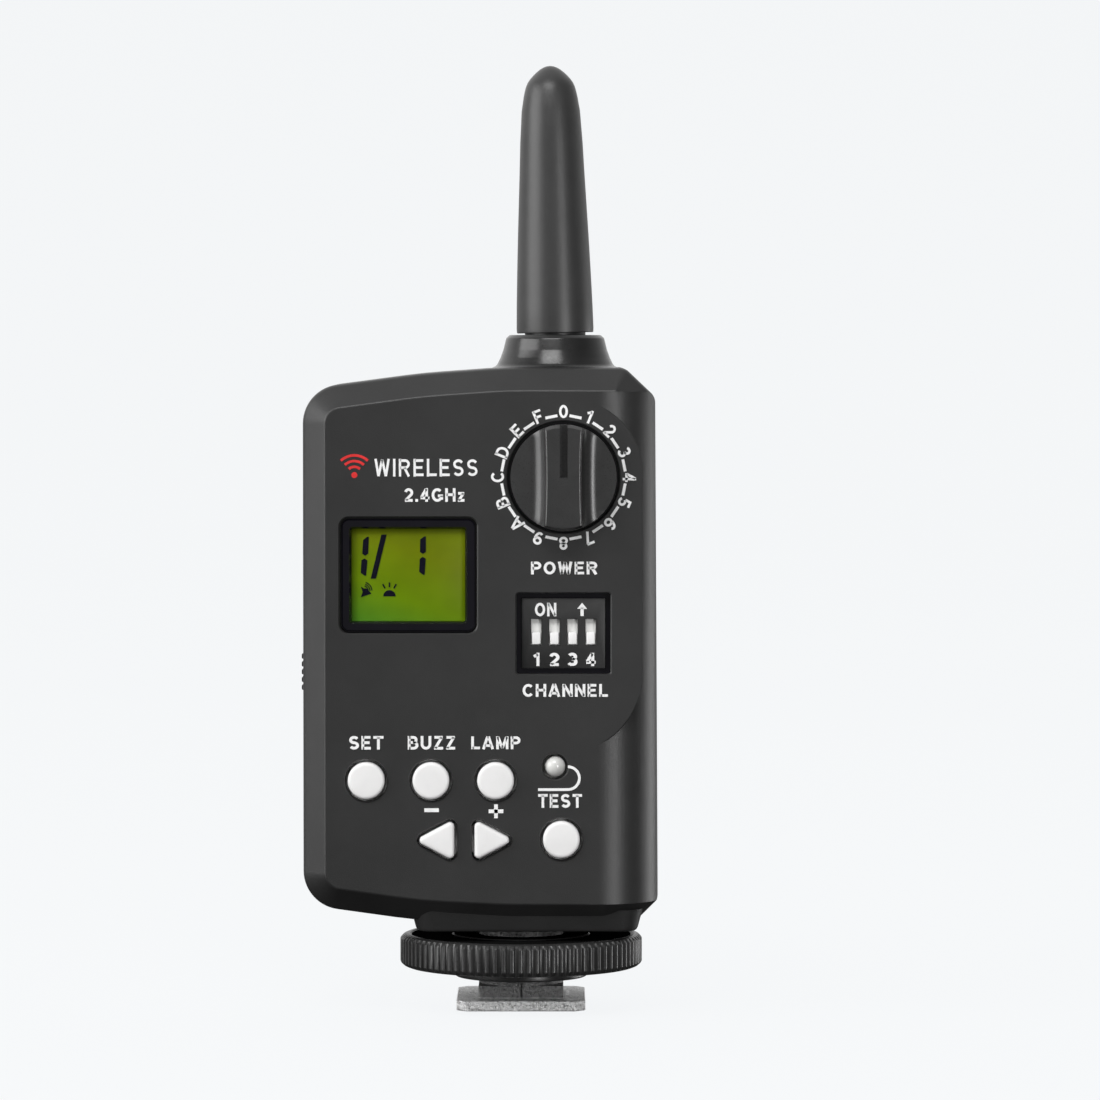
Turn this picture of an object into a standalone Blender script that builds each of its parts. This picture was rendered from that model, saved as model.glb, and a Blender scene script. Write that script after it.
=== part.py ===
"""A wireless flash trigger: hand-held radio transmitter on a camera shoe foot.

Metres, +Z up, -Y is the front with the display and the buttons.
The origin is the centre of the shoe foot's underside.
"""

import math

import bmesh
import bpy
from mathutils import Matrix, Vector

# ---------------------------------------------------------------- driving sizes
GAP = 0.0003  # clearance between neighbouring pieces
WALL = 0.0020  # moulded wall
ARC_STEP = math.radians(18)

# Case. Each corner is x, z, radius, anticlockwise seen from the front.
FRONT_Y = -0.0140
BACK_Y = 0.0130
EDGE_CHAMFER = 0.0032
CAVITY_CHAMFER = 0.0022
SIDE_ROUND = 0.0085
ROUND_LOW_Z = 0.0156
ROUND_TOP_Z = 0.0874
SIDE_X = 0.01935
BODY_CORNERS = [
    (-0.03055, 0.01525, 0.0055),
    (-0.0140, 0.01295, 0.080),
    (-0.0020, 0.0124, 0.080),
    (0.0172, 0.0124, 0.0012),
    (0.01935, 0.0158, 0.0020),
    (0.0189, 0.0866, 0.0020),
    (0.0146, 0.0907, 0.0020),
    (-0.0020, 0.09075, 0.080),
    (-0.0140, 0.0899, 0.080),
    (-0.03055, 0.0877, 0.0055),
]
PAD_PROUD = 0.00005
PAD_DEPTH = 0.0066
PAD_CORNERS = [
    (0.0080, 0.0363, 0.0003),
    (0.01716, 0.0413, 0.0116),
    (0.01716, 0.0830, 0.0109),
    (0.0080, 0.08675, 0.0003),
]
BLOCK_CORNERS = [
    (-0.0155, -0.0124, 0.0035),
    (0.0172, -0.0124, 0.0035),
    (0.0172, 0.0116, 0.0035),
    (-0.0155, 0.0116, 0.0035),
]
BLOCK_BOTTOM_Z = 0.0115
BLOCK_TOP_Z = 0.0146

# Antenna
ANTENNA_X = 0.00485
ANTENNA_LEAN = math.radians(-1.13)
COLLAR_TOP_Z = 0.0953
COLLAR_SEAT_Z = 0.0902
COLLAR_SPIGOT_R = 0.0062
COLLAR_BORE_R = 0.0046
NUT_Z = (0.0861, 0.0882)

# Front controls: x, z on the front face
DIAL = (0.0060, 0.07545)
DIAL_R = 0.0074
DIAL_FRONT_Y = -0.0190
DIAL_BACK_Y = -0.0123
DIAL_BAR = (0.00275, 0.00250)  # half width at the rim and at the middle
DIAL_SLOT = (0.00116, 0.0006)  # width and depth of the pointer groove
SHAFT_R = 0.0025
ROTARY_SIZE = 0.0100
ROTARY_FRONT_Y = -0.0109
DISPLAY = (-0.0157, 0.06172)
DISPLAY_OPENING = (0.0192, 0.0162)
DIP = (0.0060, 0.05357)
DIP_OPENING = (0.01315, 0.01130)
DIP_FACE = (0.0117, 0.0099)
DIP_FRONT_Y = -0.0129
DIP_SLOT = (0.0015, 0.0037, 0.0015)  # width, height and depth
DIP_SLOT_MIDDLE = 0.00015  # how far the slots lie above the middle of the block
DIP_SLACK = 0.00015
DIP_PITCH = 0.00254
DIP_TRAVEL = 0.0017
BUTTON_R = 0.002575
BUTTON_SLACK = 0.0004
BUTTON_FRONT_Y = -0.0149
ARROW_SIZE = (0.0055, 0.0058, 0.0006)  # length, height and corner radius
FLANGE_Y = (-0.0116, -0.0109)  # the rim that keeps a button in the case
FLANGE_R = 0.0036
TACT_SIZE = 0.0060
TACT_FRONT_Y = -0.0092
BUTTONS = {
    "set_button": (-0.0216, 0.0330),
    "buzz_button": (-0.01255, 0.0330),
    "lamp_button": (-0.0035, 0.0330),
    "minus_button": (-0.01205, 0.02465),
    "plus_button": (-0.0037, 0.02465),
    "test_button": (0.0057, 0.02475),
}
ARROWS = {"minus_button": -1, "plus_button": 1}
LED = (0.0048, 0.03494)
LED_R = 0.0015
LED_RIM_R = 0.0019
LED_RIM_Y = (-0.0117, -0.0109)
LED_DOME_Y = -0.0128  # centre of the round tip

# Boards and screws
BOARD_Y = (-0.0065, -0.0049)
BOARD_X = (-0.0270, 0.0150)
BOARD_Z = (0.0195, 0.0850)
ON_FRONT_Y = BOARD_Y[0] - GAP  # seat of the pieces on the board's front
ON_BACK_Y = BOARD_Y[1] + GAP  # seat of the pieces on the board's back
CASE_SCREWS = [(-0.0250, 0.0205), (0.0120, 0.0205), (-0.0250, 0.0825), (0.0124, 0.0829)]
BOARD_SCREWS = [(-0.0157, 0.0460), (0.0118, 0.0425), (-0.0080, 0.0795)]
BOSS_ROOT_Y = -0.0125
CASE_SCREW_R = 0.0013  # radius of the holes for the case and foot screws
BOARD_SCREW_R = 0.0011
SWITCH_Z = 0.0477
SWITCH_Y = -0.0034
KNOB_HEIGHT = 0.0055
KNOB_X = (-0.0310, -0.0280)

# Batteries
CELL_R = 0.00525
CELL_LENGTH = 0.0437
CELL_Y = 0.0052
CELLS = [(-0.0114, 0.0312, 1), (0.0001, 0.0720, -1)]  # x, z of the flat end, way up
TRAY_X = (-0.0172, 0.0059)
TRAY_Z = (0.0260, 0.0770)
TRAY_Y = (-0.0016, 0.0096)
TRAY_WALL = 0.0012
SPRING_R = 0.0024
SPRING_WIRE_R = 0.0003
PLATE_HALF_WIDTH = 0.0051
PLATE_THICKNESS = 0.0005
PLATE_Y = (0.0010, 0.0092)
LOW_PLATE_Z = 0.0264
HIGH_PLATE_Z = 0.0761
DOOR_THICKNESS = 0.0018
HOOK_WIDTH = 0.0017
HOOK_Y = 0.0099  # innermost face of the hooks on the door

# Shoe foot, lock ring and contact
FOOT_SIZE = (0.0182, 0.0185, 0.0015)
NECK = 0.0120
NECK_TOP_Z = 0.0032
POST_R = 0.0060
FLANGE_Z = (0.0149, 0.0161)
FOOT_BORE_R = 0.0026
FOOT_SCREWS = [(-0.0085, -0.0050), (0.0085, -0.0050), (-0.0085, 0.0050), (0.0085, 0.0050)]
RING_R = 0.0172
RING_BORE_R = 0.00635
RING_Z = (0.0056, 0.0102)
WASHER_R = 0.0094
WASHER_Z = (0.0041, 0.0053)
PIN_R = 0.0010
PIN_PROUD = 0.0005

# ---------------------------------------------------------------- scene and finishes
for old in list(bpy.data.objects):
    bpy.data.objects.remove(old)


def new_collection(name):
    collection = bpy.data.collections.new(name)
    bpy.context.scene.collection.children.link(collection)
    return collection


PARTS = new_collection("flash_trigger")
CUTTERS = new_collection("cutters")


def finish(name, colour, roughness, metallic=0.0):
    material = bpy.data.materials.new(name)
    material.use_nodes = True
    shader = material.node_tree.nodes["Principled BSDF"]
    shader.inputs["Base Color"].default_value = (*colour, 1.0)
    shader.inputs["Roughness"].default_value = roughness
    shader.inputs["Metallic"].default_value = metallic
    return material


CASE_BLACK = finish("case_black", (0.035, 0.035, 0.036), 0.45)
GLOSS_BLACK = finish("gloss_black", (0.02, 0.02, 0.021), 0.2)
RUBBER = finish("rubber_black", (0.04, 0.04, 0.042), 0.6)
WHITE = finish("white_plastic", (0.80, 0.80, 0.78), 0.35)
CLEAR = finish("clear_plastic", (0.75, 0.78, 0.76), 0.1)
WINDOW = finish("display_window", (0.16, 0.20, 0.03), 0.08)
GLASS = finish("display_glass", (0.22, 0.26, 0.05), 0.2)
BOARD_GREEN = finish("board_green", (0.02, 0.16, 0.07), 0.4)
CHIP_BLACK = finish("chip_black", (0.02, 0.02, 0.02), 0.5)
STEEL = finish("steel", (0.62, 0.62, 0.62), 0.3, 1.0)
FOOT_METAL = finish("foot_metal", (0.72, 0.72, 0.70), 0.35, 1.0)
BRASS = finish("brass", (0.75, 0.58, 0.28), 0.3, 1.0)
CELL_SKIN = finish("cell_skin", (0.45, 0.47, 0.50), 0.35, 0.6)


# ---------------------------------------------------------------- outlines
def offset_corners(corners, distance):
    """The same outline moved inwards, each corner radius made smaller by as much."""
    moved = []
    for index, (x, z, radius) in enumerate(corners):
        here = Vector((x, z))
        into = (here - Vector(corners[index - 1][:2])).normalized()
        away = (Vector(corners[(index + 1) % len(corners)][:2]) - here).normalized()
        side_in = Vector((-into.y, into.x))
        side_away = Vector((-away.y, away.x))
        middle = (side_in + side_away).normalized()
        corner = here + middle * distance / middle.dot(side_in)
        moved.append((corner.x, corner.y, max(radius - distance, 0.0004)))
    return moved


def rounded(corners):
    """Points round an outline whose corners are (x, y, radius), anticlockwise."""
    points = []
    for index, (x, y, radius) in enumerate(corners):
        here = Vector((x, y))
        into = (here - Vector(corners[index - 1][:2])).normalized()
        away = (Vector(corners[(index + 1) % len(corners)][:2]) - here).normalized()
        turn = math.atan2(into.x * away.y - into.y * away.x, into.dot(away))
        reach = radius * math.tan(abs(turn) / 2)
        steps = max(1, math.ceil(abs(turn) / ARC_STEP))
        side = Vector((-into.y, into.x)) * math.copysign(1, turn)
        start = here - into * reach
        centre = start + side * radius
        for step in range(steps + 1):
            spin = Matrix.Rotation(turn * step / steps, 2)
            points.append(centre + spin @ (start - centre))
    return points


# ---------------------------------------------------------------- solids
def place(obj, name, material, cutter=False):
    obj.name = name
    (CUTTERS if cutter else PARTS).objects.link(obj)
    if cutter:
        obj.hide_render = True
        obj.display_type = "WIRE"
    if not obj.data.materials:
        obj.data.materials.append(material)
    return obj


def mesh_object(form, name, material, cutter=False):
    mesh = bpy.data.meshes.new(name)
    form.to_mesh(mesh)
    form.free()
    return place(bpy.data.objects.new(name, mesh), name, material, cutter)


def block(name, low, high, material=CASE_BLACK, cutter=False):
    """A box from its lowest to its highest corner."""
    form = bmesh.new()
    size = Vector(high) - Vector(low)
    middle = (Vector(high) + Vector(low)) / 2
    matrix = Matrix.Translation(middle) @ Matrix.Diagonal((*size, 1.0))
    bmesh.ops.create_cube(form, size=1.0, matrix=matrix)
    return mesh_object(form, name, material, cutter)


TURN_TO = {
    "X": Matrix.Rotation(math.pi / 2, 4, "Y"),
    "Y": Matrix.Rotation(-math.pi / 2, 4, "X"),
    "Z": Matrix.Identity(4),
}


def rod(name, radius, start, length, along, material=STEEL, cutter=False, sides=24):
    """A cylinder from start, running in the positive direction of an axis."""
    form = bmesh.new()
    middle = Matrix.Translation((0, 0, length / 2))
    matrix = Matrix.Translation(start) @ TURN_TO[along] @ middle
    bmesh.ops.create_cone(
        form, cap_ends=True, segments=sides, radius1=radius, radius2=radius, depth=length, matrix=matrix
    )
    return mesh_object(form, name, material, cutter)


def prism(name, points, low, high, along="Y", material=CASE_BLACK, cutter=False):
    """An outline filled and extruded. Outlines along Y are x, z; along Z they are x, y."""
    curve = bpy.data.curves.new(name, "CURVE")
    curve.dimensions = "2D"
    curve.fill_mode = "BOTH"
    curve.extrude = (high - low) / 2
    spline = curve.splines.new("POLY")
    spline.points.add(len(points) - 1)
    for point, (x, y) in zip(spline.points, points):
        point.co = (x, y, 0.0, 1.0)
    spline.use_cyclic_u = True
    guide = bpy.data.objects.new(name + "_outline", curve)
    bpy.context.scene.collection.objects.link(guide)
    bpy.context.view_layer.update()
    evaluated = guide.evaluated_get(bpy.context.evaluated_depsgraph_get())
    mesh = bpy.data.meshes.new_from_object(evaluated)
    bpy.data.objects.remove(guide)
    middle = (high + low) / 2
    if along == "Y":
        turn = Matrix.Translation((0, middle, 0)) @ Matrix.Rotation(math.pi / 2, 4, "X")
    else:
        turn = Matrix.Translation((0, 0, middle))
    form = bmesh.new()
    form.from_mesh(mesh)
    bmesh.ops.remove_doubles(form, verts=form.verts, dist=0.000001)
    bmesh.ops.transform(form, matrix=turn, verts=form.verts)
    bmesh.ops.recalc_face_normals(form, faces=form.faces)
    return mesh_object(form, name, material, cutter)


def lofted(name, sections, along="Y", material=CASE_BLACK, cutter=False):
    """A closed skin over outlines, each at its own level: x, z along Y, or x, y along Z."""
    form = bmesh.new()
    loops = []
    for level, points in sections:
        places = [(a, level, b) if along == "Y" else (a, b, level) for a, b in points]
        loops.append([form.verts.new(place) for place in places])
    count = len(loops[0])
    for near, far in zip(loops, loops[1:]):
        for index in range(count):
            after = (index + 1) % count
            form.faces.new((near[index], near[after], far[after], far[index]))
    form.faces.new(loops[0])
    form.faces.new(loops[-1])
    bmesh.ops.recalc_face_normals(form, faces=form.faces)
    return mesh_object(form, name, material, cutter)


def chamfered_slab(name, corners, low_y, high_y, chamfer, cutter=False):
    """An outline with its front and back rims chamfered by the same width."""
    small = rounded(offset_corners(corners, chamfer))
    full = rounded(corners)
    sections = [(low_y, small), (low_y + chamfer, full), (high_y - chamfer, full), (high_y, small)]
    return lofted(name, sections, cutter=cutter)


def turned(name, profile, matrix, material, sides=32, cutter=False):
    """A profile of (radius, height), top to bottom down the outside, spun about Z."""
    form = bmesh.new()
    corners = [form.verts.new((radius, 0.0, height)) for radius, height in profile]
    closed = profile[0][0] > 0
    for index in range(len(corners) - (0 if closed else 1)):
        form.edges.new((corners[index], corners[(index + 1) % len(corners)]))
    obj = mesh_object(form, name, material, cutter)
    screw = obj.modifiers.new("turn", "SCREW")
    screw.steps = screw.render_steps = sides
    screw.use_merge_vertices = True
    screw.merge_threshold = 0.00001
    obj.matrix_world = matrix
    return obj


def cut(target, other, operation="DIFFERENCE"):
    modifier = target.modifiers.new(other.name, "BOOLEAN")
    modifier.operation = operation
    modifier.object = other
    return target


def soften(obj, width, segments=1):
    bevel = obj.modifiers.new("edges", "BEVEL")
    bevel.width = width
    bevel.segments = segments
    bevel.limit_method = "ANGLE"
    bevel.angle_limit = math.radians(40)
    return obj


def smooth(obj):
    obj.data.shade_smooth()
    obj.data.set_sharp_from_angle(angle=math.radians(30))
    return obj


# ---------------------------------------------------------------- case
# Cutters through the front wall run from one of these depths to the other.
CUT_FRONT_Y = FRONT_Y - 0.001
CUT_INNER_Y = FRONT_Y + WALL + 0.001


def side_round_outline(inset):
    """What lies outside the two rounded vertical edges on the right, in plan."""
    radius = SIDE_ROUND - inset
    front = Vector((SIDE_X - SIDE_ROUND, FRONT_Y + SIDE_ROUND))
    back = Vector((SIDE_X - SIDE_ROUND, BACK_Y - SIDE_ROUND))
    steps = 8
    arc = []
    for step in range(steps + 1):
        angle = math.pi / 2 * step / steps
        arc.append(front + Vector((math.sin(angle), -math.cos(angle))) * radius)
    for step in range(steps, -1, -1):
        angle = math.pi / 2 * step / steps
        arc.append(back + Vector((math.sin(angle), math.cos(angle))) * radius)
    # Both ends run on past the faces, so that the cut crosses them cleanly.
    first = arc[0] + (arc[0] - arc[1]) * 4
    last = arc[-1] + (arc[-1] - arc[-2]) * 4
    low = FRONT_Y - 0.004
    high = BACK_Y + 0.004
    far = SIDE_X + 0.004
    return [first, *arc, last, (last.x, high), (far, high), (far, low), (first.x, low)]


def side_round_cutter(name, levels):
    """Each level is z and how far the round lies inside the case's own surface."""
    sections = [(z, side_round_outline(inset)) for z, inset in levels]
    return lofted(name, sections, "Z", cutter=True)


def case_form(name, low_y, high_y):
    """One half of the case, closed and hollow, between two depths."""
    shell = chamfered_slab(name, BODY_CORNERS, FRONT_Y, BACK_Y, EDGE_CHAMFER)
    # The chamfer along the bottom runs on round the corner, and a cap stays square at the top.
    flare = EDGE_CHAMFER + 0.001
    levels = [(ROUND_LOW_Z - flare, flare), (ROUND_LOW_Z, 0.0), (ROUND_TOP_Z, 0.0)]
    cut(shell, side_round_cutter(name + "_side_round", levels))
    foot_block = prism(
        name + "_block", rounded(BLOCK_CORNERS), BLOCK_BOTTOM_Z, BLOCK_TOP_Z, "Z", cutter=True
    )
    cut(shell, foot_block, "UNION")
    pad_outline = rounded(PAD_CORNERS)
    pad_sections = [(FRONT_Y - PAD_PROUD, pad_outline), (FRONT_Y + PAD_DEPTH, pad_outline)]
    pad = lofted(name + "_pad", pad_sections, cutter=True)
    cut(shell, pad, "UNION")
    cavity_corners = offset_corners(BODY_CORNERS, WALL)
    cavity = chamfered_slab(
        name + "_cavity", cavity_corners, FRONT_Y + WALL, BACK_Y - WALL, CAVITY_CHAMFER, cutter=True
    )
    inner_levels = [(0.0, WALL), (0.11, WALL)]
    cut(cavity, side_round_cutter(name + "_inner_round", inner_levels))
    cut(shell, cavity)
    half = block(name + "_half", (-0.05, low_y, 0.0), (0.05, high_y, 0.12), cutter=True)
    cut(shell, half, "INTERSECT")
    return shell


def collar_and_post_holes(shell):
    seat = rod(shell.name + "_seat", 0.0094, (ANTENNA_X, 0, COLLAR_SEAT_Z), 0.004, "Z", cutter=True)
    hole = rod(
        shell.name + "_collar_hole", COLLAR_SPIGOT_R + GAP, (ANTENNA_X, 0, 0.084), 0.010, "Z", cutter=True
    )
    post = rod(shell.name + "_post_hole", POST_R + GAP, (0, 0, 0.010), 0.0060, "Z", cutter=True)
    cut(shell, seat)
    cut(shell, hole)
    cut(shell, post)
    for index, (x, y) in enumerate(FOOT_SCREWS):
        inside = y < 0 if shell.name == "front_shell" else y > 0
        if inside:
            name = f"{shell.name}_foot_screw_hole_{index}"
            cut(shell, rod(name, CASE_SCREW_R, (x, y, 0.0121), 0.004, "Z", cutter=True, sides=12))


def plate(name, centre, size, low_y, high_y, material=CASE_BLACK, cutter=False):
    """A block round a place on the front, x and z, between two depths."""
    x, z = centre
    width, height = size
    low = (x - width / 2, low_y, z - height / 2)
    high = (x + width / 2, high_y, z + height / 2)
    return block(name, low, high, material, cutter)


def boss(shell, name, centre, radius, hole_radius, post_y, hole_y):
    """A round post with a screw hole in it, each between its own two depths."""
    x, z = centre
    post = rod(name, radius, (x, post_y[0], z), post_y[1] - post_y[0], "Y", cutter=True, sides=16)
    length = hole_y[1] - hole_y[0]
    hole = rod(name + "_hole", hole_radius, (x, hole_y[0], z), length, "Y", cutter=True, sides=12)
    cut(shell, post, "UNION")
    cut(shell, hole)


def front_hole(shell, name, centre, radius, sides):
    """A round hole through the front wall."""
    x, z = centre
    length = CUT_INNER_Y - CUT_FRONT_Y
    cut(shell, rod(name, radius, (x, CUT_FRONT_Y, z), length, "Y", cutter=True, sides=sides))


def arrow_corners(centre, way, grow=0.0):
    """A triangle with rounded corners that points along +X or -X."""
    x, z = centre
    length, height, radius = ARROW_SIZE
    tip = (x + way * length / 2, z)
    upper = (x - way * length / 2, z + height / 2)
    lower = (x - way * length / 2, z - height / 2)
    ends = [tip, upper, lower] if way > 0 else [tip, lower, upper]
    return offset_corners([(*end, radius) for end in ends], -grow)


def front_shell():
    shell = case_form("front_shell", FRONT_Y - 0.001, -GAP / 2)
    collar_and_post_holes(shell)
    for index, centre in enumerate(CASE_SCREWS):
        name = f"front_boss_{index}"
        boss(shell, name, centre, 0.0026, CASE_SCREW_R, (BOSS_ROOT_Y, -GAP / 2), (-0.0095, 0.0025))
    for index, centre in enumerate(BOARD_SCREWS):
        name = f"board_boss_{index}"
        boss(shell, name, centre, 0.0022, BOARD_SCREW_R, (BOSS_ROOT_Y, ON_FRONT_Y), (-0.0115, -0.0055))
    opening = plate(
        "display_opening", DISPLAY, DISPLAY_OPENING, CUT_FRONT_Y, CUT_INNER_Y, cutter=True
    )
    cut(shell, soften(opening, 0.0012, 2))
    cut(shell, plate("dip_opening", DIP, DIP_OPENING, CUT_FRONT_Y, CUT_INNER_Y, cutter=True))
    front_hole(shell, "dial_opening", DIAL, DIAL_R + 0.0004, 32)
    front_hole(shell, "led_opening", LED, LED_R + GAP, 16)
    for name, centre in BUTTONS.items():
        if name in ARROWS:
            outline = rounded(arrow_corners(centre, ARROWS[name], BUTTON_SLACK))
            cut(shell, prism(name + "_opening", outline, CUT_FRONT_Y, CUT_INNER_Y, cutter=True))
        else:
            front_hole(shell, name + "_opening", centre, BUTTON_R + BUTTON_SLACK, 18)
    slot = (-0.0320, SWITCH_Y - 0.0018, 0.0440), (-0.0270, SWITCH_Y + 0.0018, 0.0542)
    cut(shell, block("power_switch_slot", *slot, cutter=True))
    return smooth(shell)


def rear_shell():
    shell = case_form("rear_shell", GAP / 2, BACK_Y + 0.001)
    collar_and_post_holes(shell)
    for index, (x, z) in enumerate(CASE_SCREWS):
        name = f"rear_boss_{index}"
        boss(shell, name, (x, z), 0.0031, CASE_SCREW_R, (GAP / 2, 0.01165), (-0.001, 0.015))
        head = rod(f"rear_head_hole_{index}", 0.0023, (x, 0.0106, z), 0.004, "Y", cutter=True, sides=16)
        cut(shell, head)
    low = (TRAY_X[0], BACK_Y - WALL - 0.001, TRAY_Z[0])
    high = (TRAY_X[1], BACK_Y + 0.001, TRAY_Z[1])
    cut(shell, block("battery_opening", low, high, cutter=True))
    return smooth(shell)


# ---------------------------------------------------------------- antenna
def antenna():
    base = Matrix.Translation((ANTENNA_X, 0, 0))
    collar_profile = [
        (COLLAR_BORE_R, 0.0953),
        (0.0064, 0.0953),
        (0.0069, 0.0948),
        (0.0074, 0.0932),
        (0.0078, 0.0920),
        (0.0084, 0.0909),
        (0.0091, 0.0905),
        (COLLAR_SPIGOT_R, 0.0905),
        (COLLAR_SPIGOT_R, 0.0858),
        (COLLAR_BORE_R, 0.0858),
    ]
    smooth(turned("antenna_collar", collar_profile, base, GLOSS_BLACK, 28))
    nut = rod("antenna_nut", 0.0084, (ANTENNA_X, 0, NUT_Z[0]), NUT_Z[1] - NUT_Z[0], "Z", BRASS, sides=6)
    bore = rod("antenna_nut_bore", COLLAR_SPIGOT_R + GAP, (ANTENNA_X, 0, 0.085), 0.004, "Z", cutter=True)
    cut(nut, bore)
    lean = (
        Matrix.Translation((ANTENNA_X, 0, COLLAR_TOP_Z))
        @ Matrix.Rotation(ANTENNA_LEAN, 4, "Y")
        @ Matrix.Translation((0, 0, -COLLAR_TOP_Z))
    )
    sleeve_profile = [
        (0.0000, 0.1334),
        (0.0013, 0.1330),
        (0.00266, 0.1318),
        (0.00341, 0.1307),
        (0.00391, 0.1290),
        (0.00414, 0.1270),
        (0.00462, 0.1179),
        (0.00504, 0.1088),
        (0.00538, 0.0997),
        (0.00548, 0.0956),
        (0.0043, 0.0956),
        (0.0043, 0.0890),
        (0.0013, 0.0890),
        (0.0013, 0.1290),
        (0.0000, 0.1290),
    ]
    smooth(turned("antenna_sleeve", sleeve_profile, lean, RUBBER, 24))
    core_profile = [(0.0, 0.1280), (0.0010, 0.1280), (0.0010, 0.0850), (0.0, 0.0850)]
    turned("antenna_core", core_profile, lean, BRASS, 12)


# ---------------------------------------------------------------- display
def display():
    """The window in its opening, the glass behind it and the light behind that."""
    width, height = DISPLAY_OPENING
    window_size = (width - 2 * GAP, height - 2 * GAP)
    window = plate("display_window", DISPLAY, window_size, -0.0135, -0.0120, WINDOW)
    soften(window, 0.0009, 2)
    plate("display_glass", DISPLAY, (0.0200, 0.0170), -0.0117, -0.0097, GLASS)
    plate("display_backlight", DISPLAY, (0.0196, 0.0166), -0.0094, ON_FRONT_Y, WHITE)


# ---------------------------------------------------------------- dial
def dial():
    """A round knob milled down to a raised bar across its middle, on the shaft of its switch."""
    x, z = DIAL
    knob = rod("power_dial", DIAL_R, (x, DIAL_FRONT_Y, z), DIAL_BACK_Y - DIAL_FRONT_Y, "Y", sides=32)
    knob.data.materials[0] = GLOSS_BLACK
    soften(knob, 0.0005)
    flank = rod("dial_flank", 0.0200, (x, DIAL_FRONT_Y - 0.001, z), 0.0042, "Y", cutter=True, sides=4)
    rim_half, middle_half = DIAL_BAR
    reach = 0.010
    bar_outline = [
        (x - rim_half, z - reach),
        (x + rim_half, z - reach),
        (x + middle_half, z),
        (x + rim_half, z + reach),
        (x - rim_half, z + reach),
        (x - middle_half, z),
    ]
    bar = prism("dial_bar", bar_outline, DIAL_FRONT_Y - 0.002, DIAL_FRONT_Y + 0.005, cutter=True)
    cut(flank, bar)
    cut(knob, flank)
    slot_width, slot_depth = DIAL_SLOT
    slot_low = (x - slot_width / 2, DIAL_FRONT_Y - 0.001, z)
    slot_high = (x + slot_width / 2, DIAL_FRONT_Y + slot_depth, z + reach)
    cut(knob, block("dial_slot", slot_low, slot_high, cutter=True))
    bore_r = SHAFT_R + GAP
    cut(knob, rod("dial_socket", bore_r, (x, -0.0160, z), 0.005, "Y", cutter=True, sides=24))
    rod("dial_shaft", SHAFT_R, (x, -0.0157, z), 0.0082, "Y", BRASS, sides=24)
    body = plate("rotary_switch", DIAL, (ROTARY_SIZE, ROTARY_SIZE), ROTARY_FRONT_Y, ON_FRONT_Y, CHIP_BLACK)
    cut(body, rod("rotary_switch_bore", bore_r, (x, -0.0120, z), 0.006, "Y", cutter=True, sides=24))


# ---------------------------------------------------------------- channel switches
def channel_switches():
    """A block of four slots, each with a slider at its lower end."""
    x, z = DIP
    body = plate("dip_switch_body", DIP, DIP_FACE, DIP_FRONT_Y, ON_FRONT_Y, CHIP_BLACK)
    slot_width, slot_height, slot_depth = DIP_SLOT
    slot_low_z = z + DIP_SLOT_MIDDLE - slot_height / 2
    slot_high_z = slot_low_z + slot_height
    slider_low_z = slot_low_z + DIP_SLACK
    slider_high_z = slot_high_z - DIP_SLACK - DIP_TRAVEL
    slot_half = slot_width / 2
    slider_half = slot_half - DIP_SLACK
    for index in range(4):
        middle = x + (index - 1.5) * DIP_PITCH
        slot_low = (middle - slot_half, DIP_FRONT_Y - 0.001, slot_low_z)
        slot_high = (middle + slot_half, DIP_FRONT_Y + slot_depth, slot_high_z)
        cut(body, block(f"dip_slot_{index + 1}", slot_low, slot_high, cutter=True))
        slider_low = (middle - slider_half, DIP_FRONT_Y - 0.0002, slider_low_z)
        slider_high = (middle + slider_half, DIP_FRONT_Y + slot_depth - GAP, slider_high_z)
        block(f"dip_slider_{index + 1}", slider_low, slider_high, WHITE)


# ---------------------------------------------------------------- buttons and lamp
def buttons():
    """Six caps with a rim inside the case, each over a small push switch on the board."""
    depth = FLANGE_Y[1] - BUTTON_FRONT_Y
    for name, (x, z) in BUTTONS.items():
        if name in ARROWS:
            outline = rounded(arrow_corners((x, z), ARROWS[name]))
            cap = prism(name, outline, BUTTON_FRONT_Y, FLANGE_Y[1], material=WHITE)
        else:
            cap = rod(name, BUTTON_R, (x, BUTTON_FRONT_Y, z), depth, "Y", WHITE, sides=18)
        soften(cap, 0.0003)
        start = (x, FLANGE_Y[0], z)
        thick = FLANGE_Y[1] - FLANGE_Y[0]
        cut(cap, rod(name + "_flange", FLANGE_R, start, thick, "Y", cutter=True, sides=18), "UNION")
    for name, (x, z) in BUTTONS.items():
        key = name.replace("_button", "_tact_switch")
        body = plate(key, (x, z), (TACT_SIZE, TACT_SIZE), TACT_FRONT_Y, ON_FRONT_Y, STEEL)
        plunger = rod(key + "_plunger", 0.0016, (x, -0.0099, z), 0.002, "Y", cutter=True, sides=16)
        cut(body, plunger, "UNION")


def status_lamp():
    """A lens with a round tip, a stop rim behind the case wall and a stem down to the board."""
    x, z = LED
    steps = 4
    profile = []
    for step in range(steps + 1):
        angle = math.pi / 2 * step / steps
        profile.append((LED_R * math.sin(angle), -LED_DOME_Y + LED_R * math.cos(angle)))
    front_y, back_y = LED_RIM_Y
    stem = [
        (LED_R, front_y),
        (LED_RIM_R, front_y),
        (LED_RIM_R, back_y),
        (LED_R, back_y),
        (LED_R, ON_FRONT_Y),
        (0.0, ON_FRONT_Y),
    ]
    profile += [(radius, -y) for radius, y in stem]
    matrix = Matrix.Translation((x, 0, z)) @ Matrix.Rotation(math.pi / 2, 4, "X")
    smooth(turned("status_lamp", profile, matrix, CLEAR, 14))


# ---------------------------------------------------------------- boards
def board_hole(board, name, centre, radius, sides):
    x, z = centre
    cut(board, rod(name, radius, (x, -0.008, z), 0.005, "Y", cutter=True, sides=sides))


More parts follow.
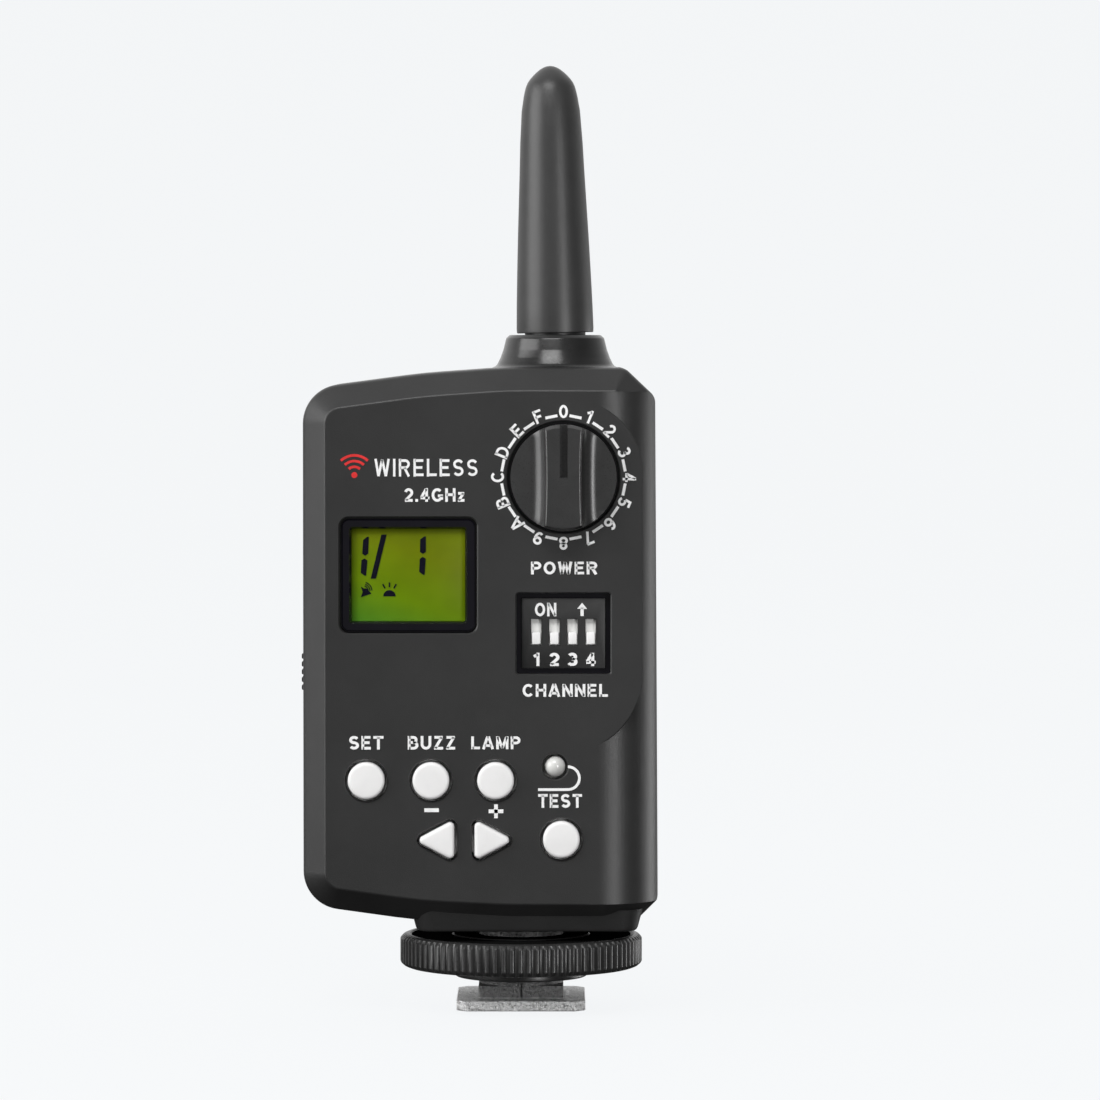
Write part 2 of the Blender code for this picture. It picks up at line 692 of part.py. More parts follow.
def boards():
    low, high = zip(BOARD_X, BOARD_Y, BOARD_Z)
    board = block("main_board", low, high, BOARD_GREEN)
    for index, centre in enumerate(CASE_SCREWS):
        board_hole(board, f"board_notch_{index}", centre, 0.0034, 16)
    for index, centre in enumerate(BOARD_SCREWS):
        board_hole(board, f"board_hole_{index}", centre, BOARD_SCREW_R, 12)
    board_hole(board, "board_shaft_hole", DIAL, SHAFT_R + GAP, 24)
    block("radio_module", (-0.0150, ON_BACK_Y, 0.0640), (0.0010, -0.0022, 0.0770), STEEL)
    block("controller_chip", (-0.0120, ON_BACK_Y, 0.0400), (-0.0020, -0.0034, 0.0500), CHIP_BLACK)
    block("power_switch_body", (-0.0276, ON_BACK_Y, 0.0415), (-0.0236, -0.0022, 0.0565), STEEL)
    ribbed_switch_knob()


def ribbed_switch_knob():
    low_z = SWITCH_Z - KNOB_HEIGHT / 2
    knob_low = (KNOB_X[0], SWITCH_Y - 0.0015, low_z)
    knob_high = (KNOB_X[1], SWITCH_Y + 0.0015, low_z + KNOB_HEIGHT)
    knob = block("power_switch_knob", knob_low, knob_high)
    grooves = 5
    groove_half = 0.00025
    for index in range(grooves):
        z = low_z + KNOB_HEIGHT * (index + 0.5) / grooves
        low = (KNOB_X[0] - 0.001, SWITCH_Y - 0.002, z - groove_half)
        high = (KNOB_X[0] + groove_half, SWITCH_Y + 0.002, z + groove_half)
        cut(knob, block(f"knob_groove_{index}", low, high, cutter=True))


# ---------------------------------------------------------------- battery bay
def cell(index, x, flat_z, way):
    """One cell standing on its flat end, or hanging from it."""
    length = CELL_LENGTH
    nub_r = 0.0019
    nub = 0.0008
    edge = 0.0003
    profile = [
        (0.0, length + nub),
        (nub_r, length + nub),
        (nub_r, length),
        (CELL_R - edge, length),
        (CELL_R, length - edge),
        (CELL_R, edge),
        (CELL_R - edge, 0.0),
        (0.0, 0.0),
    ]
    turn = Matrix.Identity(4) if way > 0 else Matrix.Rotation(math.pi, 4, "X")
    matrix = Matrix.Translation((x, CELL_Y, flat_z)) @ turn
    smooth(turned(f"battery_cell_{index}", profile, matrix, CELL_SKIN, 18))


def spring(name, x, low_z, high_z):
    """A compression coil as one bent wire."""
    turns = 3
    points_a_turn = 8
    curve = bpy.data.curves.new(name, "CURVE")
    curve.dimensions = "3D"
    curve.bevel_depth = SPRING_WIRE_R
    curve.bevel_resolution = 1
    curve.use_fill_caps = True
    spline = curve.splines.new("POLY")
    count = turns * points_a_turn
    climb = high_z - low_z - 2 * SPRING_WIRE_R
    spline.points.add(count)
    for index in range(count + 1):
        share = index / count
        angle = 2 * math.pi * turns * share
        across = x + SPRING_R * math.cos(angle)
        deep = CELL_Y + SPRING_R * math.sin(angle)
        height = low_z + SPRING_WIRE_R + climb * share
        spline.points[index].co = (across, deep, height, 1.0)
    obj = bpy.data.objects.new(name, curve)
    return place(obj, name, STEEL)


def contact_plate(name, low_x, high_x, low_z):
    low = (low_x - PLATE_HALF_WIDTH, PLATE_Y[0], low_z)
    high = (high_x + PLATE_HALF_WIDTH, PLATE_Y[1], low_z + PLATE_THICKNESS)
    block(name, low, high, STEEL)


def battery_bay():
    """The tray with two cells in series: a spring for each flat end and plates at both ends."""
    outer_low = (TRAY_X[0] - TRAY_WALL, TRAY_Y[0], TRAY_Z[0] - TRAY_WALL)
    outer_high = (TRAY_X[1] + TRAY_WALL, TRAY_Y[1], TRAY_Z[1] + TRAY_WALL)
    tray = block("battery_tray", outer_low, outer_high)
    floor_y = TRAY_Y[0] + 0.0011
    inner = (TRAY_X[0], floor_y, TRAY_Z[0]), (TRAY_X[1], TRAY_Y[1] + 0.001, TRAY_Z[1])
    cut(tray, block("battery_tray_inside", *inner, cutter=True))
    for index, (x, flat_z, way) in enumerate(CELLS):
        cell(index + 1, x, flat_z, way)
    (first_x, first_z, _), (second_x, second_z, _) = CELLS
    spring("battery_spring_1", first_x, LOW_PLATE_Z + PLATE_THICKNESS + GAP, first_z - GAP)
    spring("battery_spring_2", second_x, second_z + GAP, HIGH_PLATE_Z - GAP)
    contact_plate("contact_plate_1", first_x, first_x, LOW_PLATE_Z)
    contact_plate("contact_plate_2", second_x, second_x, LOW_PLATE_Z)
    contact_plate("contact_bridge", first_x, second_x, HIGH_PLATE_Z)


def battery_door():
    """A lid with two hooks at its lower edge and a finger notch near its upper one."""
    low = (TRAY_X[0] + GAP, BACK_Y - DOOR_THICKNESS, TRAY_Z[0] + GAP)
    high = (TRAY_X[1] - GAP, BACK_Y, TRAY_Z[1] - GAP)
    door = block("battery_door", low, high)
    hook_top_z = low[2] + 0.0010
    for side, start in (("left", low[0]), ("right", high[0] - HOOK_WIDTH)):
        end = start + HOOK_WIDTH
        link = (start, HOOK_Y, low[2]), (end, 0.0118, hook_top_z)
        claw = (start, HOOK_Y, low[2] - 0.0014), (end, HOOK_Y + 0.0008, hook_top_z)
        cut(door, block(f"door_link_{side}", *link, cutter=True), "UNION")
        cut(door, block(f"door_claw_{side}", *claw, cutter=True), "UNION")
    middle = (low[0] + high[0]) / 2
    notch_low = (middle - 0.005, BACK_Y - 0.0007, high[2] - 0.0045)
    notch_high = (middle + 0.005, BACK_Y + 0.001, high[2] - 0.0015)
    cut(door, block("door_notch", notch_low, notch_high, cutter=True))


# ---------------------------------------------------------------- shoe foot
def shoe_foot():
    width, depth, thick = FOOT_SIZE
    corner = 0.0015
    half_w = width / 2
    half_d = depth / 2
    plate_outline = [
        (-half_w + corner, -half_d),
        (half_w - corner, -half_d),
        (half_w, -half_d + corner),
        (half_w, half_d - corner),
        (half_w - corner, half_d),
        (-half_w + corner, half_d),
        (-half_w, half_d - corner),
        (-half_w, -half_d + corner),
    ]
    foot = prism("shoe_foot", plate_outline, 0.0, thick, "Z", FOOT_METAL)
    half_n = NECK / 2
    neck = block("foot_neck", (-half_n, -half_n, 0.0005), (half_n, half_n, NECK_TOP_Z), cutter=True)
    post = rod("foot_post", POST_R, (0, 0, 0.0010), 0.0145, "Z", cutter=True)
    flange = block("foot_flange", (-0.0110, -0.0080, FLANGE_Z[0]), (0.0110, 0.0080, FLANGE_Z[1]), cutter=True)
    for piece in (neck, post, flange):
        cut(foot, piece, "UNION")
    cut(foot, rod("foot_bore", FOOT_BORE_R, (0, 0, -0.001), 0.019, "Z", cutter=True, sides=24))
    for index, (x, y) in enumerate(FOOT_SCREWS):
        name = f"flange_hole_{index}"
        cut(foot, rod(name, CASE_SCREW_R, (x, y, 0.0140), 0.003, "Z", cutter=True, sides=12))


def lock_ring():
    profile = [
        (RING_BORE_R, RING_Z[1]),
        (0.0160, RING_Z[1]),
        (RING_R, 0.0097),
        (RING_R, 0.0059),
        (0.0165, RING_Z[0]),
        (RING_BORE_R, RING_Z[0]),
    ]
    smooth(turned("lock_ring", profile, Matrix.Identity(4), GLOSS_BLACK, 48))
    washer_profile = [
        (RING_BORE_R, WASHER_Z[1]),
        (WASHER_R, WASHER_Z[1]),
        (WASHER_R, WASHER_Z[0]),
        (RING_BORE_R, WASHER_Z[0]),
    ]
    smooth(turned("pressure_washer", washer_profile, Matrix.Identity(4), GLOSS_BLACK, 28))


def centre_contact():
    insulator_profile = [
        (PIN_R + GAP, 0.0130),
        (FOOT_BORE_R - GAP, 0.0130),
        (FOOT_BORE_R - GAP, 0.0001),
        (PIN_R + GAP, 0.0001),
    ]
    turned("contact_insulator", insulator_profile, Matrix.Identity(4), CHIP_BLACK, 16)
    rod("centre_contact", PIN_R, (0, 0, -PIN_PROUD), 0.0170, "Z", BRASS, sides=16)


# ---------------------------------------------------------------- screws
def screw(name, head_r, head, shank_r, length, matrix):
    """A pan-head screw standing on the origin, its shank running down."""
    profile = [(0.0, head), (head_r * 0.8, head), (head_r, head * 0.6), (head_r, 0.0), (shank_r, 0.0)]
    profile += [(shank_r, -length), (0.0, -length)]
    fastener = turned(name, profile, matrix, STEEL, 10)
    for index, size in enumerate(((head_r * 1.2, head_r * 0.3), (head_r * 0.3, head_r * 1.2))):
        low = Vector((-size[0] / 2, -size[1] / 2, head * 0.5))
        high = Vector((size[0] / 2, size[1] / 2, head * 1.5))
        arm = block(f"{name}_recess_{index}", low, high, cutter=True)
        arm.matrix_world = matrix
        cut(fastener, arm)


def screws():
    facing_back = Matrix.Rotation(-math.pi / 2, 4, "X")
    for index, (x, z) in enumerate(CASE_SCREWS):
        matrix = Matrix.Translation((x, 0.0109, z)) @ facing_back
        screw(f"case_screw_{index + 1}", 0.0019, 0.0013, 0.0010, 0.0195, matrix)
    for index, (x, z) in enumerate(BOARD_SCREWS):
        matrix = Matrix.Translation((x, ON_BACK_Y, z)) @ facing_back
        screw(f"board_screw_{index + 1}", 0.0017, 0.0011, 0.0008, 0.0065, matrix)
    for index, (x, y) in enumerate(FOOT_SCREWS):
        matrix = Matrix.Translation((x, y, FLANGE_Z[1] + GAP))
        screw(f"foot_screw_{index + 1}", 0.0018, 0.0012, 0.0010, 0.0040, matrix)


front_shell()
rear_shell()
antenna()
display()
dial()
channel_switches()
buttons()
status_lamp()
boards()
battery_bay()
battery_door()
shoe_foot()
lock_ring()
centre_contact()
screws()
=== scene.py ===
"""Looks of a studio flash trigger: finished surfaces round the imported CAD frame. Sizes are in millimetres."""

import math

import bmesh
import bpy
from mathutils import Matrix, Vector


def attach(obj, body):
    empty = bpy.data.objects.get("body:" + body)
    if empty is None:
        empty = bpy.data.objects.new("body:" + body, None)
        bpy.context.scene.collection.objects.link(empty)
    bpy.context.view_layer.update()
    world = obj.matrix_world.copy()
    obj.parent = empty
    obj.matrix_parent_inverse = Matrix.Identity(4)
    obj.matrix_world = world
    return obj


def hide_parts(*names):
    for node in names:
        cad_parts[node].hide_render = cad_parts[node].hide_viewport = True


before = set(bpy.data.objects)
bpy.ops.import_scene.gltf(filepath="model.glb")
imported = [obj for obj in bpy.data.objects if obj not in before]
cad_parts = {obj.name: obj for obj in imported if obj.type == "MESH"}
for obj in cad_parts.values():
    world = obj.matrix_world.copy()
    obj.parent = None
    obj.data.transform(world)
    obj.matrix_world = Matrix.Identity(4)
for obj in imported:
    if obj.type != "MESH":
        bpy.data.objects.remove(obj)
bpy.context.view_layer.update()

MM = 0.001
FRONT = -14.0
BACK = 13.0
HALF_GAP = 0.15
PAPER_GLOW = 0.935
WALL = 2.0
SIDE_X = 19.35
SIDE_ROUND = 8.5
ROUND_LOW = 15.6
ROUND_TOP = 87.4
CHAMFER = 3.2
BODY_CORNERS = [
    (-30.55, 15.25, 5.5),
    (-14.0, 12.95, 80.0),
    (-2.0, 12.4, 80.0),
    (17.2, 12.4, 1.2),
    (19.35, 15.8, 2.0),
    (18.9, 86.6, 2.0),
    (14.6, 90.7, 2.0),
    (-2.0, 90.75, 80.0),
    (-14.0, 89.9, 80.0),
    (-30.55, 87.7, 5.5),
]
PAD_PROUD = 0.004
PAD_CORNERS = [
    (8.0, 36.3, 0.3),
    (17.16, 41.3, 11.6),
    (17.16, 83.0, 10.9),
    (8.0, 86.75, 0.3),
]
BLOCK_CORNERS = [
    (-15.5, -12.4, 3.5),
    (17.2, -12.4, 3.5),
    (17.2, 11.6, 3.5),
    (-15.5, 11.6, 3.5),
]
BLOCK_Z = (11.5, 14.6)
ANTENNA_X = 4.85
ANTENNA_LEAN = math.radians(-1.13)
COLLAR_TOP = 95.3
DIAL = (6.0, 75.45)
DIAL_FRONT = -19.0
DIAL_FLOOR = -15.8
DIAL_BACK = -12.3
DISPLAY = (-15.7, 61.72)
DISPLAY_HOLE = (-15.73, 61.72)  # middle of the bezel's own opening
PANEL_FRONT = -12.25
MARKS_Y = -12.3
MARK_THICK = 0.08
DIP = (6.0, 53.57)
DIP_FRONT = -12.9
DIP_PITCH = 2.54
BOARD_SEAT = -6.8  # back of the pieces that stand on the board
LED = (4.8, 34.94)
BUTTONS = {
    "set_button": (-21.6, 33.0),
    "buzz_button": (-12.55, 33.0),
    "lamp_button": (-3.5, 33.0),
    "minus_button": (-12.05, 24.65),
    "plus_button": (-3.7, 24.65),
    "test_button": (5.7, 24.75),
}
ARROWS = {"minus_button": -1, "plus_button": 1}
BUTTON_R = 2.575
BUTTON_SLACK = 0.4
FLANGE_Y = (-11.6, -10.9)
LED_R = 1.5
CASE_SCREWS = [(-25.0, 20.5), (12.0, 20.5), (-25.0, 82.5), (12.4, 82.9)]
TRAY_X = (-17.2, 5.9)
TRAY_Z = (26.0, 77.0)
CELL_R = 5.25
CELL_Y = 5.2
# Each cell's x, the z of its flat end, and which way up it lies.
CELLS = {"battery_cell_1": (-11.4, 31.2, 1), "battery_cell_2": (0.1, 72.0, -1)}
SWITCH_LOW = 44.95
SWITCH_HEIGHT = 5.5
FOOT_HALF = (9.1, 9.25)
FOOT_CORNER = 1.35
FOOT_TOP = 1.5
RING_BORE = 6.35


# ---------------------------------------------------------------- materials
class Surface:
    """A principled material whose colour, roughness and relief come from noise in the object's own space."""

    def __init__(self, name):
        self.material = bpy.data.materials.new(name)
        self.material.use_nodes = True
        self.tree = self.material.node_tree
        self.shader = self.tree.nodes["Principled BSDF"]
        self.place = self.tree.nodes.new("ShaderNodeTexCoord").outputs["Object"]

    def node(self, kind, **settings):
        made = self.tree.nodes.new(kind)
        for key, value in settings.items():
            setattr(made, key, value)
        return made

    def link(self, start, end):
        self.tree.links.new(start, end)

    def noise(self, scale, detail=4.0, roughness=0.55, stretch=None):
        place = self.place
        if stretch:
            mapping = self.node("ShaderNodeMapping")
            mapping.inputs["Scale"].default_value = stretch
            self.link(place, mapping.inputs["Vector"])
            place = mapping.outputs["Vector"]
        made = self.node("ShaderNodeTexNoise")
        made.inputs["Scale"].default_value = scale
        made.inputs["Detail"].default_value = detail
        made.inputs["Roughness"].default_value = roughness
        self.link(place, made.inputs["Vector"])
        return made.outputs["Fac"]

    def ramp(self, value, stops):
        made = self.node("ShaderNodeValToRGB")
        elements = made.color_ramp.elements
        while len(elements) < len(stops):
            elements.new(0.5)
        for element, (position, colour) in zip(elements, stops):
            element.position = position
            element.color = (*colour, 1.0)
        self.link(value, made.inputs["Fac"])
        return made.outputs["Color"]

    def span(self, value, low, high):
        made = self.node("ShaderNodeMapRange")
        made.inputs["From Min"].default_value = 0.3
        made.inputs["From Max"].default_value = 0.7
        made.inputs["To Min"].default_value = low
        made.inputs["To Max"].default_value = high
        self.link(value, made.inputs["Value"])
        return made.outputs["Result"]

    def reach(self, value, start, end, low, high):
        """Runs from low to high as a coordinate runs between two places, in millimetres."""
        made = self.node("ShaderNodeMapRange")
        places = {"From Min": start * MM, "From Max": end * MM, "To Min": low, "To Max": high}
        for key, number in places.items():
            made.inputs[key].default_value = number
        self.link(value, made.inputs["Value"])
        return made.outputs["Result"]

    def shaded(self, colour, factor):
        """The colour made darker or lighter by a factor that changes over the surface."""
        made = self.node("ShaderNodeMix", data_type="RGBA", blend_type="MULTIPLY")
        made.inputs["Factor"].default_value = 1.0
        self.link(colour, made.inputs["A"])
        self.link(factor, made.inputs["B"])
        return made.outputs["Result"]

    def bump(self, value, strength, distance):
        made = self.node("ShaderNodeBump")
        made.inputs["Strength"].default_value = strength
        made.inputs["Distance"].default_value = distance
        self.link(value, made.inputs["Height"])
        return made.outputs["Normal"]


def surface(name, low, high, roughness, patch=300.0, grain=9000.0, relief=0.25, **sockets):
    """Colour runs from low to high in patches. Fine grain varies the roughness and raises the relief."""
    made = Surface(name)
    patches = made.noise(patch, 5.0)
    made.link(made.ramp(patches, [(0.3, low), (0.7, high)]), made.shader.inputs["Base Color"])
    fine = made.noise(grain, 3.0)
    made.link(made.span(fine, *roughness), made.shader.inputs["Roughness"])
    made.link(made.bump(fine, relief, 0.00006), made.shader.inputs["Normal"])
    for key, value in sockets.items():
        made.shader.inputs[key.replace("_", " ")].default_value = value
    return made.material


def grey(value, warm=0.0):
    return (value + warm, value, value - warm)


CASE = surface("case_moulded", grey(0.0175), grey(0.0225), (0.36, 0.45), patch=120.0, grain=7000.0)
COLLAR = surface("collar_gloss", grey(0.012), grey(0.016), (0.20, 0.27), grain=2500.0, relief=0.05)
RUBBER = surface("antenna_rubber", grey(0.029), grey(0.035), (0.35, 0.43), grain=6000.0, relief=0.20)
KNOB = surface(
    "knob_gloss", grey(0.020), grey(0.027), (0.26, 0.36), 400.0, relief=0.08, Specular_IOR_Level=0.75,
)
# Painted shade: a darker, matt copy of the ring's own plastic, for its upward-facing top.
RING_TOP_PAINTED_SHADE = surface(
    "ring_top_painted_shade", grey(0.006), grey(0.009), (0.5, 0.6), 350.0, 4000.0, 0.05, Specular_IOR_Level=0.0,
)
RING = surface("ring_moulded", grey(0.022), grey(0.032), (0.26, 0.38), 350.0, 4000.0, 0.10)
BEZEL = surface(
    "bezel_gloss", (0.0045, 0.0042, 0.0065), (0.006, 0.0055, 0.009), (0.08, 0.14), 300.0, 900.0, 0.02,
)
DIP_BLACK = surface("dip_black", grey(0.010), grey(0.015), (0.42, 0.55), grain=6000.0, relief=0.15)
WHITE = surface("button_white", grey(0.78, 0.004), grey(0.83, 0.004), (0.34, 0.44), grain=5000.0, relief=0.06)
SLIDER = surface(
    "slider_white", grey(0.82, 0.004), grey(0.88, 0.004), (0.32, 0.42), grain=5000.0, relief=0.05,
)
SLOT_GREY = surface("slot_grey", (0.80, 0.80, 0.78), (0.88, 0.88, 0.86), (0.5, 0.6), grain=3000.0, relief=0.1)
INK = surface("printed_white", grey(0.80), grey(0.88), (0.5, 0.62), patch=900.0, relief=0.08)
RED_INK = surface(
    "printed_red", (0.60, 0.012, 0.012), (0.72, 0.02, 0.02), (0.5, 0.6), patch=900.0, relief=0.08,
)
INNER = surface("inner_plastic", grey(0.030), grey(0.042), (0.5, 0.62), grain=6000.0, relief=0.2)
CHIP = surface("chip_moulded", grey(0.018), grey(0.026), (0.5, 0.62), relief=0.2)
BOARD = surface("board_lacquer", (0.008, 0.10, 0.035), (0.015, 0.17, 0.06), (0.25, 0.4), 500.0, relief=0.1)
STEEL = surface(
    "plated_steel", grey(0.50, 0.01), grey(0.62, 0.01), (0.22, 0.36), 300.0, 4000.0, 0.08, Metallic=1.0,
)
BRASS = surface(
    "brass_turned", (0.60, 0.40, 0.16), (0.74, 0.52, 0.24), (0.2, 0.34), 300.0, 5000.0, 0.08, Metallic=1.0,
)
CLEAR = surface("lamp_clear", (0.62, 0.62, 0.60), (0.72, 0.72, 0.70), (0.08, 0.14), grain=1500.0, relief=0.03)
CELL = surface(
    "cell_skin", (0.30, 0.31, 0.33), (0.38, 0.39, 0.42), (0.22, 0.34), 200.0, relief=0.05, Metallic=0.7,
)
CELL_BAND = surface("cell_band", (0.02, 0.05, 0.16), (0.03, 0.07, 0.22), (0.25, 0.35), 200.0, relief=0.05)
CELL_END = surface("cell_end", grey(0.55), grey(0.66), (0.2, 0.3), 400.0, relief=0.05, Metallic=1.0)
SEGMENT = surface(
    "segment_dark", (0.004, 0.004, 0.010), (0.006, 0.006, 0.013), (0.5, 0.6),
    relief=0.03, Specular_IOR_Level=0.05,
)


def machined_metal():
    """Milled plate with lines along the cut and bright torn specks. Above the plate the neck and post are
    darkened with painted shade.
    """
    made = Surface("foot_milled_painted_shade")
    lines = made.noise(900.0, 5.0, stretch=(1.0, 1.0, 9.0))
    specks = made.noise(2200.0, 3.0, 0.7)
    split = made.node("ShaderNodeSeparateXYZ")
    made.link(made.place, split.inputs["Vector"])
    colour = made.ramp(lines, [(0.3, grey(0.56)), (0.7, grey(0.82))])
    colour = made.shaded(colour, made.span(specks, 0.5, 1.15))
    # Painted shade: everything above the plate's top, neck, post and flange, is made five times darker.
    colour = made.shaded(colour, made.reach(split.outputs["Z"], 1.5, 1.6, 1.0, 0.2))
    made.link(colour, made.shader.inputs["Base Color"])
    made.link(made.span(specks, 0.20, 0.52), made.shader.inputs["Roughness"])
    made.link(made.bump(specks, 1.0, 0.0002), made.shader.inputs["Normal"])
    made.shader.inputs["Metallic"].default_value = 0.6
    return made.material


def lit_panel():
    """The lit panel: yellow-green above, greener below, with a painted shadow of the bezel along its left and
    top edges.
    """
    made = Surface("display_panel")
    split = made.node("ShaderNodeSeparateXYZ")
    made.link(made.place, split.inputs["Vector"])
    x, z = DISPLAY
    height = made.reach(split.outputs["Z"], z - 6.5, z + 6.5, 0.0, 1.0)
    across = made.reach(split.outputs["X"], x - 8.0, x + 8.0, 0.0, 0.45)
    place = made.node("ShaderNodeMath", operation="ADD")
    made.link(height, place.inputs[0])
    made.link(across, place.inputs[1])
    colour = made.ramp(
        place.outputs["Value"],
        [(0.0, (0.056, 0.180, 0.012)), (0.45, (0.104, 0.184, 0.002)), (1.0, (0.108, 0.140, 0.0005))],
    )
    # Painted shadow of the bezel: the panel is darker along its left and top edges.
    colour = made.shaded(colour, made.reach(split.outputs["X"], x - 8.0, x - 7.0, 0.42, 1.0))
    colour = made.shaded(colour, made.reach(split.outputs["Z"], z + 5.6, z + 6.5, 1.0, 0.42))
    cloud = made.span(made.noise(160.0, 2.0), 0.88, 1.10)
    colour = made.shaded(colour, cloud)
    made.link(colour, made.shader.inputs["Base Color"])
    made.link(colour, made.shader.inputs["Emission Color"])
    made.shader.inputs["Emission Strength"].default_value = 0.30
    made.shader.inputs["Specular IOR Level"].default_value = 0.1
    made.shader.inputs["Roughness"].default_value = 0.35
    made.link(made.bump(made.noise(5000.0, 2.0), 0.05, 0.00003), made.shader.inputs["Normal"])
    return made.material


def clear_pane():
    made = Surface("display_pane")
    made.link(
        made.ramp(made.noise(400.0), [(0.3, grey(0.020)), (0.7, grey(0.024))]),
        made.shader.inputs["Base Color"],
    )
    made.shader.inputs["Roughness"].default_value = 0.06
    made.shader.inputs["Alpha"].default_value = 0.02
    made.shader.inputs["Specular IOR Level"].default_value = 0.12
    made.link(made.bump(made.noise(300.0, 2.0), 0.03, 0.00003), made.shader.inputs["Normal"])
    return made.material


FOOT = machined_metal()
PANEL = lit_panel()
PANE = clear_pane()


# ---------------------------------------------------------------- outlines
def arc_angles(start, end, steps):
    return [start + (end - start) * n / steps for n in range(steps + 1)]


def offset_corners(corners, distance):
    """The same outline moved inwards, each corner radius made smaller by as much."""
    moved = []
    for index, (x, z, radius) in enumerate(corners):
        here = Vector((x, z))
        into = (here - Vector(corners[index - 1][:2])).normalized()
        away = (Vector(corners[(index + 1) % len(corners)][:2]) - here).normalized()
        side_in = Vector((-into.y, into.x))
        side_away = Vector((-away.y, away.x))
        middle = (side_in + side_away).normalized()
        corner = here + middle * distance / middle.dot(side_in)
        moved.append((corner.x, corner.y, max(radius - distance, 0.3)))
    return moved


def fillet(before, here, after, radius, step):
    """Points of the arc that rounds one corner."""
    into = (here - before).normalized()
    away = (after - here).normalized()
    turn = math.atan2(into.x * away.y - into.y * away.x, into.dot(away))
    if abs(turn) < 1e-6 or radius <= 0:
        return [here]
    reach = radius * math.tan(abs(turn) / 2)
    steps = max(2, math.ceil(abs(turn) / step))
    side = Vector((-into.y, into.x)) * math.copysign(1, turn)
    start = here - into * reach
    centre = start + side * radius
    return [centre + Matrix.Rotation(turn * n / steps, 2) @ (start - centre) for n in range(steps + 1)]


def rounded(corners, step=math.radians(6)):
    """Points round an outline whose corners are (x, y, radius), anticlockwise."""
    points = []
    for index, (x, y, radius) in enumerate(corners):
        before = Vector(corners[index - 1][:2])
        after = Vector(corners[(index + 1) % len(corners)][:2])
        points += fillet(before, Vector((x, y)), after, radius, step)
    return points


def path(points, step=math.radians(12)):
    """An open line whose inner points (x, y, radius) are rounded."""
    places = [Vector(point[:2]) for point in points]
    found = [places[0]]
    for index in range(1, len(points) - 1):
        radius = points[index][2] if len(points[index]) > 2 else 0.0
        found += fillet(places[index - 1], places[index], places[index + 1], radius, step)
    return found + [places[-1]]


def circle(centre, radius, count=64):
    x, z = centre
    angles = [2 * math.pi * n / count for n in range(count)]
    return [(x + radius * math.cos(a), z + radius * math.sin(a)) for a in angles]


def rectangle(centre, size, radius, grow=0.0):
    x, z = centre
    half_w = size[0] / 2 + grow
    half_h = size[1] / 2 + grow
    r = radius + grow
    return [
        (x - half_w, z - half_h, r),
        (x + half_w, z - half_h, r),
        (x + half_w, z + half_h, r),
        (x - half_w, z + half_h, r),
    ]


def arrow(centre, way, grow=0.0):
    """A triangle with rounded corners that points along +X or -X."""
    x, z = centre
    tip = (x + way * 2.75, z)
    upper = (x - way * 2.75, z + 2.9)
    lower = (x - way * 2.75, z - 2.9)
    ends = [tip, upper, lower] if way > 0 else [tip, lower, upper]
    return offset_corners([(*end, 0.6) for end in ends], -grow)


# ---------------------------------------------------------------- solids
def new_object(name, form, material):
    bmesh.ops.recalc_face_normals(form, faces=form.faces)
    mesh = bpy.data.meshes.new(name)
    form.to_mesh(mesh)
    form.free()
    mesh.materials.append(material)
    obj = bpy.data.objects.new(name, mesh)
    bpy.context.scene.collection.objects.link(obj)
    return obj


def lofted(name, sections, material, along="Y", capped=True):
    """A skin over outlines, each at its own level: x, z along Y, or x, y along Z."""
    form = bmesh.new()
    loops = []
    for level, points in sections:
        if along == "Y":
            places = [(a, level, b) for a, b in points]
        else:
            places = [(a, b, level) for a, b in points]
        loops.append([form.verts.new(Vector(place) * MM) for place in places])
    count = len(loops[0])
    for near, far in zip(loops, loops[1:]):
        for index in range(count):
            after = (index + 1) % count
            form.faces.new((near[index], near[after], far[after], far[index]))
    if capped:
        form.faces.new(loops[0])
        form.faces.new(loops[-1])
    else:
        for index in range(count):
            after = (index + 1) % count
            form.faces.new((loops[-1][index], loops[-1][after], loops[0][after], loops[0][index]))
    return new_object(name, form, material)


def turned(name, profile, material, sides=96, matrix=None):
    """A closed profile of (radius, height) spun about Z."""
    form = bmesh.new()
    rows = []
    for radius, height in profile:
        if radius < 1e-6:
            rows.append([form.verts.new((0, 0, height * MM))])
            continue
        angles = [2 * math.pi * n / sides for n in range(sides)]
        ring = [(radius * math.cos(a) * MM, radius * math.sin(a) * MM, height * MM) for a in angles]
        rows.append([form.verts.new(place) for place in ring])
    pairs = list(zip(rows, rows[1:]))
    if len(rows[0]) > 1 or len(rows[-1]) > 1:
        pairs.append((rows[-1], rows[0]))
    for first, second in pairs:
        for index in range(sides):
            after = (index + 1) % sides
            corners = [first[index % len(first)], first[after % len(first)]]
            corners += [second[after % len(second)], second[index % len(second)]]
            face = list(dict.fromkeys(corners))
            if len(face) > 2:
                form.faces.new(face)
    obj = new_object(name, form, material)
    if matrix:
        obj.data.transform(matrix)
    return obj


def box(name, low, high, material, round_by=0.0, segments=3):
    form = bmesh.new()
    size = (Vector(high) - Vector(low)) * MM
    middle = (Vector(high) + Vector(low)) * MM / 2
    matrix = Matrix.Translation(middle) @ Matrix.Diagonal((*size, 1.0))
    bmesh.ops.create_cube(form, size=1.0, matrix=matrix)
    if round_by:
        bmesh.ops.bevel(
            form, geom=form.edges[:], offset=round_by * MM, segments=segments, profile=0.5, affect="EDGES"
        )
    return new_object(name, form, material)


def settle(obj):
    """Makes the modifiers' result the object's own mesh."""
    bpy.context.view_layer.update()
    graph = bpy.context.evaluated_depsgraph_get()
    made = bpy.data.meshes.new_from_object(obj.evaluated_get(graph))
    obj.modifiers.clear()
    old = obj.data
    obj.data = made
    bpy.data.meshes.remove(old)
    return obj


def drop(obj):
    mesh = obj.data
    bpy.data.objects.remove(obj)
    bpy.data.meshes.remove(mesh)


